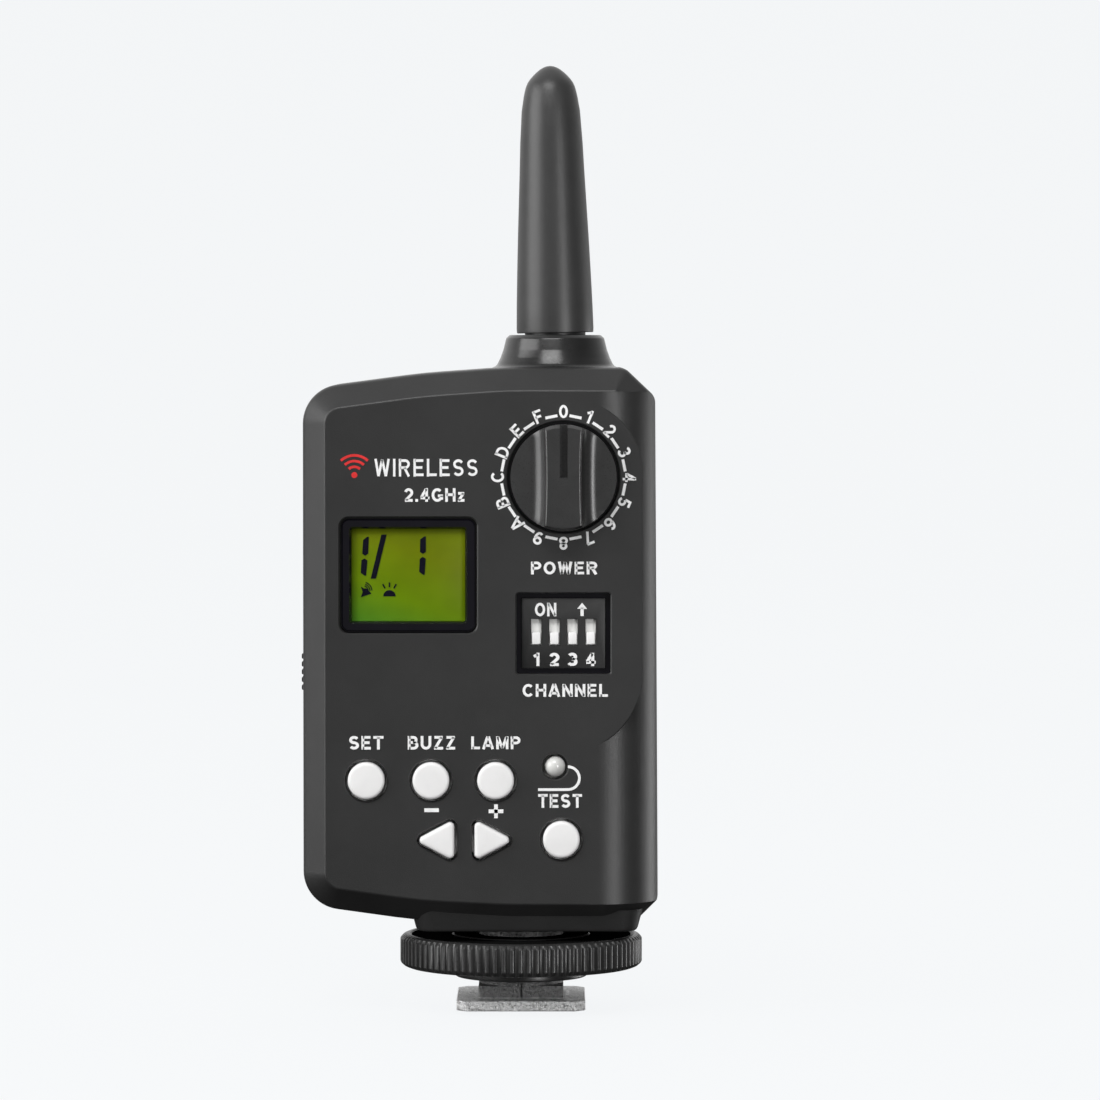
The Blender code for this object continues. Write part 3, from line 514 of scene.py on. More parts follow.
def joined(objects, name=None):
    """One object from several, which keeps the first one's place in the scene."""
    form = bmesh.new()
    first = objects[0]
    materials = []
    for obj in objects:
        for material in obj.data.materials:
            if material not in materials:
                materials.append(material)
    for obj in objects:
        shift = [materials.index(material) for material in obj.data.materials]
        count = len(form.faces)
        form.from_mesh(obj.data)
        form.faces.ensure_lookup_table()
        for face in form.faces[count:]:
            face.material_index = shift[face.material_index] if shift else 0
    mesh = bpy.data.meshes.new(name or first.name)
    form.to_mesh(mesh)
    form.free()
    for material in materials:
        mesh.materials.append(material)
    for obj in objects[1:]:
        drop(obj)
    old = first.data
    first.data = mesh
    bpy.data.meshes.remove(old)
    if name:
        first.name = name
    return first


def cut(target, others, operation="DIFFERENCE"):
    """Cuts, adds or keeps what is shared with other solids, which are used up."""
    others = others if isinstance(others, list) else [others]
    tool = joined(others) if len(others) > 1 else others[0]
    modifier = target.modifiers.new("cut", "BOOLEAN")
    modifier.operation = operation
    modifier.solver = "EXACT"
    modifier.object = tool
    settle(target)
    drop(tool)
    return target


def dressed(obj, body, nodes=(), angle=30.0, weighted=False):
    """Smooth shading with sharp edges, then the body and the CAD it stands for."""
    obj.data.shade_smooth()
    obj.data.set_sharp_from_angle(angle=math.radians(angle))
    if weighted:
        normals = obj.modifiers.new("normals", "WEIGHTED_NORMAL")
        normals.keep_sharp = True
        normals.weight = 60
        settle(obj)
    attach(obj, body)
    if nodes:
        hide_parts(*nodes)
    return obj


# ---------------------------------------------------------------- case
def side_round_cutter(levels):
    """What lies outside the two rounded edges on the right. A level is z and how far in they lie."""
    front = Vector((SIDE_X - SIDE_ROUND, FRONT + SIDE_ROUND))
    back = Vector((SIDE_X - SIDE_ROUND, BACK - SIDE_ROUND))
    turns = arc_angles(0, math.pi / 2, 24)
    sections = []
    for z, inset in levels:
        radius = SIDE_ROUND - inset
        arc = [front + Vector((math.sin(turn), -math.cos(turn))) * radius for turn in turns]
        arc += [back + Vector((math.sin(turn), math.cos(turn))) * radius for turn in reversed(turns)]
        # Both ends run on past the faces, so that the cut crosses them cleanly.
        first = arc[0] + (arc[0] - arc[1]) * 4
        last = arc[-1] + (arc[-1] - arc[-2]) * 4
        far = SIDE_X + 4
        ends = [last, (last.x, BACK + 4), (far, BACK + 4), (far, FRONT - 4), (first.x, FRONT - 4)]
        sections.append((z, [first, *arc, *ends]))
    return lofted("side_round", sections, CASE, "Z")


def case_form(name, front_half):
    """One half of the case, hollow, its rims chamfered and their edges softened."""
    rim = [(CHAMFER + 4, FRONT), (CHAMFER, FRONT, 0.5), (0, FRONT + CHAMFER, 1.3), (0, BACK - CHAMFER, 1.3)]
    rim += [(CHAMFER, BACK, 1.3), (CHAMFER + 4, BACK)]
    levels = [place for place in path(rim) if place.x < CHAMFER + 3.9]
    sections = [(y, rounded(offset_corners(BODY_CORNERS, inset))) for inset, y in levels]
    shell = lofted(name, sections, CASE)
    flare = CHAMFER + 1.0
    cut(shell, side_round_cutter([(ROUND_LOW - flare, flare), (ROUND_LOW, 0.0), (ROUND_TOP, 0.0)]))
    low, high = BLOCK_Z
    block_levels = [(low, 1.15), (low + 0.15, 0.9), (low + 0.5, 0.7), (high, 0.0)]
    sections = [(z, rounded(offset_corners(BLOCK_CORNERS, inset))) for z, inset in block_levels]
    cut(shell, lofted("block", sections, CASE, "Z"), "UNION")
    if front_half:
        outline = rounded(PAD_CORNERS, math.radians(4))
        slimmer = rounded(offset_corners(PAD_CORNERS, 0.12), math.radians(4))
        pad = [(FRONT - PAD_PROUD, slimmer), (FRONT + 0.12, outline), (FRONT + 6.6, outline)]
        cut(shell, lofted("pad", pad, CASE), "UNION")
    inner = offset_corners(BODY_CORNERS, WALL)
    slim = rounded(offset_corners(inner, 2.2))
    full = rounded(inner)
    hollow = [(FRONT + WALL, slim), (FRONT + WALL + 2.2, full)]
    hollow += [(BACK - WALL - 2.2, full), (BACK - WALL, slim)]
    cavity = lofted("cavity", hollow, CASE)
    cut(cavity, side_round_cutter([(0.0, WALL), (110.0, WALL)]))
    cut(shell, cavity)
    y = (FRONT - 1.0, -HALF_GAP) if front_half else (HALF_GAP, BACK + 1.0)
    cut(shell, box("half", (-50, y[0], 0), (50, y[1], 120), CASE), "INTERSECT")
    return shell


def rod(name, centre, radius, low, high, along="Y", count=48):
    levels = [(low, circle(centre, radius, count)), (high, circle(centre, radius, count))]
    return lofted(name, levels, CASE, along)


def neck_holes():
    return [
        rod("seat", (ANTENNA_X, 0), 9.4, 90.2, 94.2, "Z"),
        rod("post", (0, 0), 6.3, 10.0, 16.0, "Z"),
    ]


def opening(outline):
    """A hole through the front wall with a slightly broken rim. outline(grow) gives its points."""
    edge = 0.18
    levels = [(FRONT - 1.0, outline(edge + 1.0)), (FRONT + edge, outline(0.0)), (FRONT + 3.0, outline(0.0))]
    return lofted("opening", levels, CASE)


def front_openings():
    found = [
        opening(lambda grow: rounded(rectangle(DISPLAY, (19.2, 16.2), 1.3, grow))),
        opening(lambda grow: rounded(rectangle(DIP, (13.15, 11.3), 0.35, grow))),
        opening(lambda grow: circle(DIAL, 7.8 + grow, 96)),
        opening(lambda grow: circle(LED, 1.8 + grow, 32)),
    ]
    for name in BUTTONS:
        found.append(opening(lambda grow, name=name: button_outline(name, BUTTON_SLACK + grow, 48)))
    return found


def button_outline(name, grow, count):
    """A triangle with rounded corners or a circle, in count points, round one button."""
    if name in ARROWS:
        return rounded(arrow(BUTTONS[name], ARROWS[name], grow))
    return circle(BUTTONS[name], BUTTON_R + grow, count)


def case():
    front = case_form("case_front", True)
    cut(front, front_openings())
    cut(front, neck_holes())
    cut(front, rod("collar_hole", (ANTENNA_X, 0), 6.5, 84.0, 94.0, "Z"))
    cut(front, box("switch_slot", (-32, -5.2, 44.0), (-27, -1.6, 54.2), CASE, 0.3, 2))
    dressed(front, "case", ["front_shell"], 24.0, True)

    rear = case_form("case_rear", False)
    cut(rear, neck_holes())
    cut(rear, rod("collar_hole", (ANTENNA_X, 0), 6.5, 84.0, 94.0, "Z"))
    bay = (TRAY_X[0], BACK - WALL - 1, TRAY_Z[0]), (TRAY_X[1], BACK + 1, TRAY_Z[1])
    cut(rear, box("bay", *bay, CASE))
    cut(rear, [rod("boss", c, 3.1, HALF_GAP, 11.2) for c in CASE_SCREWS], "UNION")
    cut(rear, [rod("hole", c, 1.3, -1.0, 11.0) for c in CASE_SCREWS])
    cut(rear, [rod("head", c, 2.3, 10.6, 14.6) for c in CASE_SCREWS])
    dressed(rear, "case", ["rear_shell"], 24.0, True)


# ---------------------------------------------------------------- antenna
def antenna():
    lean = Matrix.Translation((ANTENNA_X * MM, 0, COLLAR_TOP * MM)) @ Matrix.Rotation(ANTENNA_LEAN, 4, "Y")
    lean = lean @ Matrix.Translation((0, 0, -COLLAR_TOP * MM))
    widths = [
        (0.0, 133.4), (0.55, 133.33), (1.0, 133.15), (1.45, 132.88), (1.95, 132.48), (2.45, 132.0),
        (2.85, 131.55), (3.2, 131.05), (3.45, 130.5), (3.65, 129.8), (3.82, 129.0), (3.98, 128.0),
        (4.14, 127.0), (4.43, 122.5), (4.62, 117.9), (4.83, 113.4), (5.04, 108.8), (5.22, 104.3),
        (5.38, 99.7), (5.46, 96.2), (5.42, 95.7), (5.30, 95.6), (4.3, 95.6), (4.3, 89.0),
        (1.3, 89.0), (1.3, 129.0), (0.0, 129.0),
    ]
    sleeve = turned("antenna_skin", widths, RUBBER, 128, lean)
    dressed(sleeve, "case", ["antenna_sleeve"], 40.0)
    base = Matrix.Translation((ANTENNA_X * MM, 0, 0))
    corners = [(4.6, 95.3), (6.45, 95.3, 0.25), (6.95, 94.85, 0.5), (7.35, 93.2, 2.0), (7.75, 92.1, 1.5)]
    corners += [(8.3, 90.95, 1.0), (9.1, 90.6, 0.05), (9.1, 90.5), (6.2, 90.5)]
    outside = path(corners, math.radians(8))
    inside = [Vector((6.2, 85.8)), Vector((4.6, 85.8))]
    collar = turned("antenna_base", [tuple(point) for point in outside + inside], COLLAR, 128, base)
    dressed(collar, "case", ["antenna_collar"], 35.0)


# ---------------------------------------------------------------- dial
def dial():
    x, z = DIAL
    reach = 9.0
    levels = []
    for step in range(-8, 9):
        share = step / 8
        half = 2.42 + 0.30 * share * share
        foot = half + 0.25
        side = [(10.0, DIAL_BACK), (10.0, DIAL_FLOOR), (foot, DIAL_FLOOR, 2.1)]
        side += [(half, DIAL_FRONT, 0.3), (0.0, DIAL_FRONT)]
        line = path(side, math.radians(15))
        right = [(x + point.x, point.y) for point in line[:-1]]
        left = [(x - point.x, point.y) for point in reversed(line[:-1])]
        levels.append((z + share * reach, right + left))
    knob = lofted("dial_knob", levels, KNOB, "Z")
    profile = [(0.0, 19.6), (6.6, 19.6), (7.4, 18.4), (7.4, 12.3), (0.0, 12.3)]
    matrix = Matrix.Translation((x * MM, 0, z * MM)) @ Matrix.Rotation(math.pi / 2, 4, "X")
    cut(knob, turned("dial_round", profile, KNOB, 128, matrix), "INTERSECT")
    cut(knob, box("dial_slot", (x - 0.55, DIAL_FRONT - 1, z), (x + 0.55, DIAL_FRONT + 1.6, z + 10), KNOB))
    cut(knob, rod("dial_socket", DIAL, 2.8, -16.0, -11.0))
    bevel = knob.modifiers.new("edges", "BEVEL")
    bevel.width = 0.14 * MM
    bevel.segments = 3
    bevel.limit_method = "ANGLE"
    bevel.angle_limit = math.radians(38)
    bevel.use_clamp_overlap = True
    settle(knob)
    dressed(knob, "power_dial", ["power_dial"], 32.0, True)
    levels = [(-12.2, circle(DIAL, 7.75, 96)), (-12.2, circle(DIAL, 3.4, 96))]
    levels += [(-12.03, circle(DIAL, 3.4, 96)), (-12.03, circle(DIAL, 7.75, 96))]
    seat = lofted("dial_seat", levels, BEZEL, capped=False)
    dressed(seat, "case", [], 30.0)


# ---------------------------------------------------------------- display
def flat_mark(points, material, surface_y):
    """A thin plate with its middle in the plane that it is printed on."""
    half = MARK_THICK / 2
    return lofted("mark", [(surface_y - half, points), (surface_y + half, points)], material)


def segment(points):
    """A flat dark mark on the panel."""
    return flat_mark(points, SEGMENT, MARKS_Y)


def digit_bar(tip, end, width):
    """Half of a digit 1: a point in the middle at its tip, a slant up to its right side at its end."""
    tip, end = Vector(tip), Vector(end)
    half = Vector((width / 2, 0.0))
    near = tip + (end - tip) * 0.11
    far = end - (end - tip) * 0.17
    return segment([tip, near + half, end + half * 0.85, end + half * 0.35, far - half, near - half])


def slanted(low, high, width):
    """A bar between two points, its ends cut level."""
    half = Vector((width / 2, 0.0))
    return [Vector(low) - half, Vector(low) + half, Vector(high) + half, Vector(high) - half]


def display():
    outer = rounded(rectangle(DISPLAY, (18.7, 15.7), 1.05))
    flange = rounded(rectangle(DISPLAY, (19.9, 16.9), 1.05))
    small = rounded(rectangle(DISPLAY, (18.3, 15.3), 0.85))
    hole = rounded(rectangle(DISPLAY_HOLE, (16.0, 13.05), 0.35))
    slope = rounded(rectangle(DISPLAY_HOLE, (16.5, 13.55), 0.5))
    rings = [(-11.75, hole), (-11.75, flange), (-11.95, flange), (-11.95, outer), (-13.35, outer)]
    rings += [(-13.5, small), (-13.5, slope), (-13.1, hole)]
    bezel = lofted("display_bezel", rings, BEZEL, capped=False)
    dressed(bezel, "case", ["display_window"], 30.0)
    pane_outline = rounded(rectangle(DISPLAY_HOLE, (15.9, 12.95), 0.3))
    pane = lofted("display_pane", [(-13.05, pane_outline), (-12.75, pane_outline)], PANE)
    dressed(pane, "case", [], 30.0)
    x, z = DISPLAY_HOLE
    low = (x - 7.96, PANEL_FRONT, z - 6.48)
    high = (x + 7.96, -9.7, z + 6.48)
    panel = box("display_panel", low, high, PANEL, 0.1, 2)
    dressed(panel, "case", ["display_glass"], 30.0)
    display_marks()


def display_marks():
    """The digits, the slash, a sounding horn and a glowing lamp."""
    bars = [
        digit_bar((-21.77, 64.42), (-21.60, 67.08), 0.84),
        digit_bar((-21.86, 64.03), (-21.98, 61.62), 0.84),
        digit_bar((-13.68, 64.68), (-13.62, 67.12), 0.84),
        digit_bar((-13.69, 64.26), (-13.80, 61.74), 0.84),
        segment(slanted((-20.62, 61.2), (-19.12, 67.38), 0.74)),
    ]
    dressed(joined(bars, "display_digits"), "case", [], 30.0)
    horn = [(-22.38, 58.6), (-20.88, 59.1), (-21.55, 59.82), (-21.95, 59.85), (-22.38, 60.1), (-22.12, 59.35)]
    sound = [segment(horn)]
    turns = arc_angles(math.radians(18), math.radians(86), 10)
    for radius in (0.78, 1.02, 1.28):
        arc = [(-22.1 + radius * math.sin(turn), 59.45 + radius * math.cos(turn)) for turn in turns]
        sound.append(strip(arc, 0.13, SEGMENT, MARKS_Y))
    dressed(joined(sound, "display_sound_mark"), "case", [], 30.0)
    lamp = Vector((-18.37, 58.72))
    turns = arc_angles(0, math.pi, 16)
    glow = [segment([lamp + Vector((math.cos(turn), math.sin(turn))) * 0.87 for turn in turns])]
    for lean in (-0.5, 0.0, 0.5):
        way = Vector((math.sin(lean), math.cos(lean)))
        glow.append(strip([lamp + way * 1.28, lamp + way * 1.96], 0.2, SEGMENT, MARKS_Y))
    dressed(joined(glow, "display_lamp_mark"), "case", [], 30.0)


# ---------------------------------------------------------------- channel switches
def channel_switches():
    x, z = DIP
    low = (x - 5.85, DIP_FRONT, z - 4.95)
    high = (x + 5.85, BOARD_SEAT, z + 4.95)
    body = box("channel_switch_block", low, high, DIP_BLACK, 0.15, 2)
    middles = [x + (index - 1.5) * DIP_PITCH for index in range(4)]
    slots = []
    wells = []
    for index, middle in enumerate(middles):
        slots.append(box("slot", (middle - 0.75, -14, z - 1.7), (middle + 0.75, -11.4, z + 2.0), DIP_BLACK))
        low = (middle - 0.74, -12.2, z - 1.69)
        high = (middle + 0.74, -11.42, z + 1.99)
        wells.append(box(f"channel_well_{index + 1}", low, high, SLOT_GREY, 0.05, 1))
    cut(body, slots)
    dressed(joined([body, *wells], "channel_switch_block"), "case", ["dip_switch_body"], 30.0)
    outer = rounded(rectangle(DIP, (13.1, 11.25), 0.3))
    inner = rounded(rectangle(DIP, (11.75, 9.95), 0.3))
    levels = [(-12.3, outer), (-12.3, inner), (-12.02, inner), (-12.02, outer)]
    surround = lofted("channel_surround", levels, BEZEL, capped=False)
    dressed(surround, "case", [], 30.0)
    for index, middle in enumerate(middles):
        low = (middle - 0.6, DIP_FRONT - 0.2, z - 1.55)
        high = (middle + 0.6, -12.25, z + 0.15)
        name = f"dip_slider_{index + 1}"
        nub = box(f"channel_slider_{index + 1}", low, high, SLIDER, 0.14, 3)
        dressed(nub, name, [name], 40.0)


# ---------------------------------------------------------------- buttons and lamp
def buttons():
    rim = [(-14.90, 0.55), (-14.88, 0.36), (-14.82, 0.2), (-14.72, 0.08), (-14.55, 0.0), (FLANGE_Y[0], 0.0)]
    for name, centre in BUTTONS.items():
        levels = [(y, button_outline(name, -inset, 64)) for y, inset in rim]
        cap = lofted(name + "_cap", levels, WHITE)
        flange = lofted("flange", [(y, circle(centre, 3.6)) for y in FLANGE_Y], WHITE)
        dressed(joined([cap, flange], name + "_cap"), name, [name], 35.0)


def status_lamp():
    x, z = LED
    profile = [(0.0, 12.8 + LED_R)]
    turns = arc_angles(0.12, math.pi / 2, 12)
    profile += [(LED_R * math.sin(turn), 12.8 + LED_R * math.cos(turn)) for turn in turns]
    profile += [(LED_R, 11.7), (1.9, 11.7), (1.9, 10.9), (LED_R, 10.9), (LED_R, 6.8), (0.0, 6.8)]
    matrix = Matrix.Translation((x * MM, 0, z * MM)) @ Matrix.Rotation(math.pi / 2, 4, "X")
    lens = turned("status_lamp_lens", profile, CLEAR, 48, matrix)
    dressed(lens, "case", ["status_lamp"], 40.0)


# ---------------------------------------------------------------- power switch
def power_switch():
    """A knob with five rounded ribs on its outer side."""
    rib = [(-30.70, 0.1), (-30.98, 0.28), (-31.0, 0.55), (-30.98, 0.82), (-30.70, 1.0)]
    high = SWITCH_LOW + SWITCH_HEIGHT
    points = []
    for index in range(5):
        low = SWITCH_LOW + SWITCH_HEIGHT * index / 5
        points += [(x, low + z) for x, z in rib]
    outline = [(-28.0, SWITCH_LOW), (-30.6, SWITCH_LOW), *points, (-30.6, high), (-28.0, high)]
    knob = lofted("switch_slider", [(-4.9, outline), (-1.9, outline)], CHIP)
    dressed(knob, "power_switch", ["power_switch_knob"], 30.0)


# ---------------------------------------------------------------- battery door
def battery_door():
    low = (TRAY_X[0] + 0.3, BACK - 1.8, TRAY_Z[0] + 0.3)
    high = (TRAY_X[1] - 0.3, BACK, TRAY_Z[1] - 0.3)
    door = box("door_panel", low, high, CASE, 0.35, 3)
    middle = (low[0] + high[0]) / 2
    marks = []
    for index in range(7):
        z = high[2] - 8.0 - index * 1.8
        groove = (middle - 6.5, BACK - 0.4, z - 0.35), (middle + 6.5, BACK + 1, z + 0.35)
        marks.append(box("groove", *groove, CASE, 0.12, 2))
    notch = (middle - 5, BACK - 0.7, high[2] - 4.5), (middle + 5, BACK + 1, high[2] - 1.5)
    marks.append(box("notch", *notch, CASE, 0.2, 2))
    cut(door, marks)
    hooks = []
    for start in (low[0], high[0] - 1.7):
        end = start + 1.7
        hooks.append(box("claw", (start, 9.9, low[2] - 1.4), (end, 10.7, low[2] + 1.0), CASE, 0.1, 2))
        hooks.append(box("link", (start, 10.5, low[2] + 0.05), (end, 11.9, low[2] + 1.0), CASE))
    dressed(joined([door, *hooks], "door_panel"), "battery_door", ["battery_door"], 30.0)


def battery_cells():
    """Two cells in printed sleeves, one each way up, with a dark band round the end that has the nub."""
    corners = [(0.0, 44.5), (1.9, 44.5, 0.2), (1.9, 43.7), (3.7, 43.7), (3.9, 43.6), (CELL_R, 43.6, 0.5)]
    corners += [(CELL_R, 0.1, 0.5), (4.2, 0.1, 0.2), (4.0, 0.0, 0.1), (0.0, 0.0)]
    profile = [tuple(point) for point in path(corners, math.radians(22))]
    for name, (x, flat_z, way) in CELLS.items():
        turn = Matrix.Identity(4) if way > 0 else Matrix.Rotation(math.pi, 4, "X")
        matrix = Matrix.Translation((x * MM, CELL_Y * MM, flat_z * MM)) @ turn
        can = turned(f"cell_can_{name[-1]}", profile, CELL, 64, matrix)
        can.data.materials.append(CELL_BAND)
        can.data.materials.append(CELL_END)
        for face in can.data.polygons:
            height = (face.center.z / MM - flat_z) * way
            reach = math.hypot(face.center.x / MM - x, face.center.y / MM - CELL_Y)
            if reach < 4.3:
                face.material_index = 2
            elif height > 30.0:
                face.material_index = 1
        dressed(can, "case", [name], 30.0)


# ---------------------------------------------------------------- shoe foot and ring
def foot_outline(inset):
    half_w, half_d = (half - inset for half in FOOT_HALF)
    points = []
    for x, z in ((-1, -1), (1, -1), (1, 1), (-1, 1)):
        ends = [(x * (half_w - FOOT_CORNER), z * half_d), (x * half_w, z * (half_d - FOOT_CORNER))]
        points += ends if x * z < 0 else reversed(ends)
    return points


def shoe_foot():
    levels = [(0.0, 0.12), (0.12, 0.0), (FOOT_TOP - 0.12, 0.0), (FOOT_TOP, 0.12)]
    foot = lofted("foot_plate", [(z, foot_outline(inset)) for z, inset in levels], FOOT, "Z")
    neck = rounded([(-6, -6, 0.4), (6, -6, 0.4), (6, 6, 0.4), (-6, 6, 0.4)], math.radians(30))
    cut(foot, lofted("neck", [(0.5, neck), (3.2, neck)], FOOT, "Z"), "UNION")
    cut(foot, rod("post", (0, 0), 6.0, 1.0, 15.5, "Z", 96), "UNION")
    cut(foot, box("flange", (-11, -8, 14.9), (11, 8, 16.1), FOOT), "UNION")
    cut(foot, rod("bore", (0, 0), 2.6, -1.0, 18.0, "Z", 64))
    cut(foot, box("seam", (-0.18, -7.0, FOOT_TOP + 0.05), (0.18, -5.65, 3.6), FOOT))
    dressed(foot, "case", ["shoe_foot"], 25.0)


def knurled(radius, depth, teeth=90):
    """A circle whose radius falls by depth between its teeth."""
    rise = ((0.0, 1.0), (0.14, 0.92), (0.30, 0.12), (0.42, 0.0))
    tooth_form = (*rise, (0.58, 0.0), (0.70, 0.12), (0.86, 0.92))
    points = []
    for tooth in range(teeth):
        for share, fall in tooth_form:
            angle = 2 * math.pi * (tooth + share) / teeth
            r = radius - depth * fall
            points.append((r * math.cos(angle), r * math.sin(angle)))
    return points


def lock_ring():
    top_rim = 15.8
    rows = [(10.2, RING_BORE, 0.0), (10.2, 9.6, 0.0), (10.05, 9.8, 0.0), (10.05, 15.6, 0.0)]
    rows += [(10.2, 15.85, 0.0), (10.2, 16.25, 0.0), (10.0, 16.75, 0.15), (9.72, 17.05, 0.38)]
    rows += [(9.5, 17.2, 0.46), (6.3, 17.2, 0.46)]
    rows += [(6.05, 17.05, 0.38), (5.75, 16.7, 0.10), (5.6, 16.3, 0.0), (5.6, RING_BORE, 0.0)]
    levels = [(z, knurled(radius, depth)) for z, radius, depth in rows]
    ring = lofted("ring_body", levels, RING, "Z", capped=False)
    ring.data.materials.append(RING_TOP_PAINTED_SHADE)
    # Upward faces inside the top rim get the darker copy, which is painted shade.
    for face in ring.data.polygons:
        if face.normal.z > 0.9 and face.center.to_2d().length < top_rim * MM:
            face.material_index = 1
    dressed(ring, "lock_ring", ["lock_ring"], 28.0)
    corners = [(RING_BORE, 5.3), (9.4, 5.3, 0.2), (9.4, 4.1, 0.25), (RING_BORE, 4.1)]
    profile = [tuple(point) for point in path(corners, math.radians(15))]
    washer = turned("washer_body", profile, RING, 96)
    dressed(washer, "pressure_washer", ["pressure_washer"], 30.0)


# ---------------------------------------------------------------- printing
def bow(x, y, wide, high, start, end, steps=10):
    """Points of an upright ellipse between two angles in degrees."""
    angles = [math.radians(start + (end - start) * n / steps) for n in range(steps + 1)]
    return [(x + wide * math.cos(a), y + high * math.sin(a)) for a in angles]


STEM = [(0.1, 0.0), (0.1, 1.0)]
NINE_BOWL = bow(0.34, 0.68, 0.24, 0.22, 0, 360, 18)
NINE_TAIL = bow(0.32, 0.54, 0.26, 0.44, 0, -125, 12)
# Each letter is its width and the middle lines of its strokes, one unit high.
GLYPHS = {
    "A": (0.86, [[(0.09, 0.0), (0.40, 1.0)], [(0.46, 1.0), (0.77, 0.0)], [(0.2, 0.28), (0.66, 0.28)]]),
    "B": (
        0.76,
        [
            STEM,
            [(0.1, 0.9), (0.38, 0.9), *bow(0.40, 0.71, 0.20, 0.19, 80, -80), (0.38, 0.52), (0.1, 0.52)],
            [(0.38, 0.52), *bow(0.42, 0.31, 0.24, 0.21, 80, -80), (0.38, 0.1), (0.1, 0.1)],
        ],
    ),
    "C": (0.8, [bow(0.42, 0.5, 0.32, 0.4, 42, 318, 18)]),
    "D": (
        0.78,
        [STEM, [(0.1, 0.9), (0.28, 0.9), *bow(0.32, 0.5, 0.36, 0.4, 80, -80, 14), (0.28, 0.1), (0.1, 0.1)]],
    ),
    "E": (0.68, [STEM, [(0.1, 0.9), (0.64, 0.9)], [(0.1, 0.51), (0.58, 0.51)], [(0.1, 0.1), (0.66, 0.1)]]),
    "F": (0.66, [STEM, [(0.1, 0.9), (0.64, 0.9)], [(0.1, 0.48), (0.54, 0.48)]]),
    "G": (
        0.84,
        [[*bow(0.42, 0.5, 0.32, 0.4, 45, 318, 18), (0.74, 0.24), (0.74, 0.44)], [(0.46, 0.44), (0.83, 0.44)]],
    ),
    "H": (0.76, [STEM, [(0.66, 0.0), (0.66, 1.0)], [(0.1, 0.52), (0.66, 0.52)]]),
    "I": (0.2, [STEM]),
    "L": (0.64, [STEM, [(0.1, 0.1), (0.64, 0.1)]]),
    "M": (0.9, [STEM, [(0.8, 0.0), (0.8, 1.0)], [(0.13, 0.97), (0.45, 0.1)], [(0.77, 0.97), (0.45, 0.1)]]),
    "N": (0.76, [STEM, [(0.66, 0.0), (0.66, 1.0)], [(0.12, 0.95), (0.64, 0.05)]]),
    "O": (0.84, [bow(0.42, 0.5, 0.32, 0.4, 0, 360, 24)]),
    "P": (
        0.72,
        [STEM, [(0.1, 0.9), (0.38, 0.9), *bow(0.40, 0.69, 0.22, 0.21, 80, -80), (0.38, 0.48), (0.1, 0.48)]],
    ),
    "R": (
        0.76,
        [
            STEM,
            [(0.1, 0.9), (0.38, 0.9), *bow(0.42, 0.70, 0.22, 0.2, 80, -80), (0.38, 0.50), (0.1, 0.50)],
            [(0.38, 0.50), (0.66, 0.0)],
        ],
    ),
    "S": (0.72, [[*bow(0.36, 0.70, 0.25, 0.2, 25, 255), *bow(0.36, 0.30, 0.25, 0.2, 75, -155)]]),
    "T": (0.72, [[(0.0, 0.9), (0.72, 0.9)], [(0.36, 0.0), (0.36, 0.9)]]),
    "U": (0.76, [[(0.1, 1.0), *bow(0.38, 0.38, 0.28, 0.28, 180, 360, 12), (0.66, 1.0)]]),
    "W": (
        1.0,
        [
            [(0.09, 1.0), (0.27, 0.02)],
            [(0.27, 0.02), (0.5, 0.95)],
            [(0.5, 0.95), (0.73, 0.02)],
            [(0.73, 0.02), (0.91, 1.0)],
        ],
    ),
    "Z": (0.7, [[(0.06, 0.9), (0.66, 0.9)], [(0.58, 0.9), (0.12, 0.1)], [(0.04, 0.1), (0.68, 0.1)]]),
    "z": (0.52, [[(0.03, 0.62), (0.48, 0.62)], [(0.42, 0.62), (0.09, 0.1)], [(0.02, 0.1), (0.5, 0.1)]]),
    ".": (0.2, [[(0.1, 0.0), (0.1, 0.2)]]),
    "0": (0.68, [bow(0.34, 0.5, 0.24, 0.4, 0, 360, 24)]),
    "1": (0.46, [[(0.02, 0.70), (0.30, 0.88)], [(0.32, 0.0), (0.32, 1.0)]]),
    "2": (0.66, [[*bow(0.33, 0.66, 0.23, 0.24, 165, -30), (0.12, 0.12)], [(0.05, 0.1), (0.62, 0.1)]]),
    "3": (0.66, [bow(0.32, 0.71, 0.21, 0.19, 150, -90), bow(0.32, 0.31, 0.24, 0.21, 90, -155)]),
    "4": (0.68, [[(0.44, 0.95), (0.08, 0.32)], [(0.02, 0.28), (0.68, 0.28)], [(0.47, 0.0), (0.47, 1.0)]]),
    "5": (0.66, [[(0.60, 0.9), (0.18, 0.9), (0.13, 0.50)], bow(0.33, 0.32, 0.24, 0.22, 135, -150, 14)]),
    "6": (0.68, [[(0.68 - x, 1 - y) for x, y in NINE_BOWL], [(0.68 - x, 1 - y) for x, y in NINE_TAIL]]),
    "7": (0.64, [[(0.03, 0.9), (0.60, 0.9)], [(0.56, 0.9), (0.24, 0.0)]]),
    "8": (0.68, [bow(0.34, 0.71, 0.20, 0.19, 0, 360, 18), bow(0.34, 0.30, 0.24, 0.20, 0, 360, 18)]),
    "9": (0.68, [NINE_BOWL, NINE_TAIL]),
}


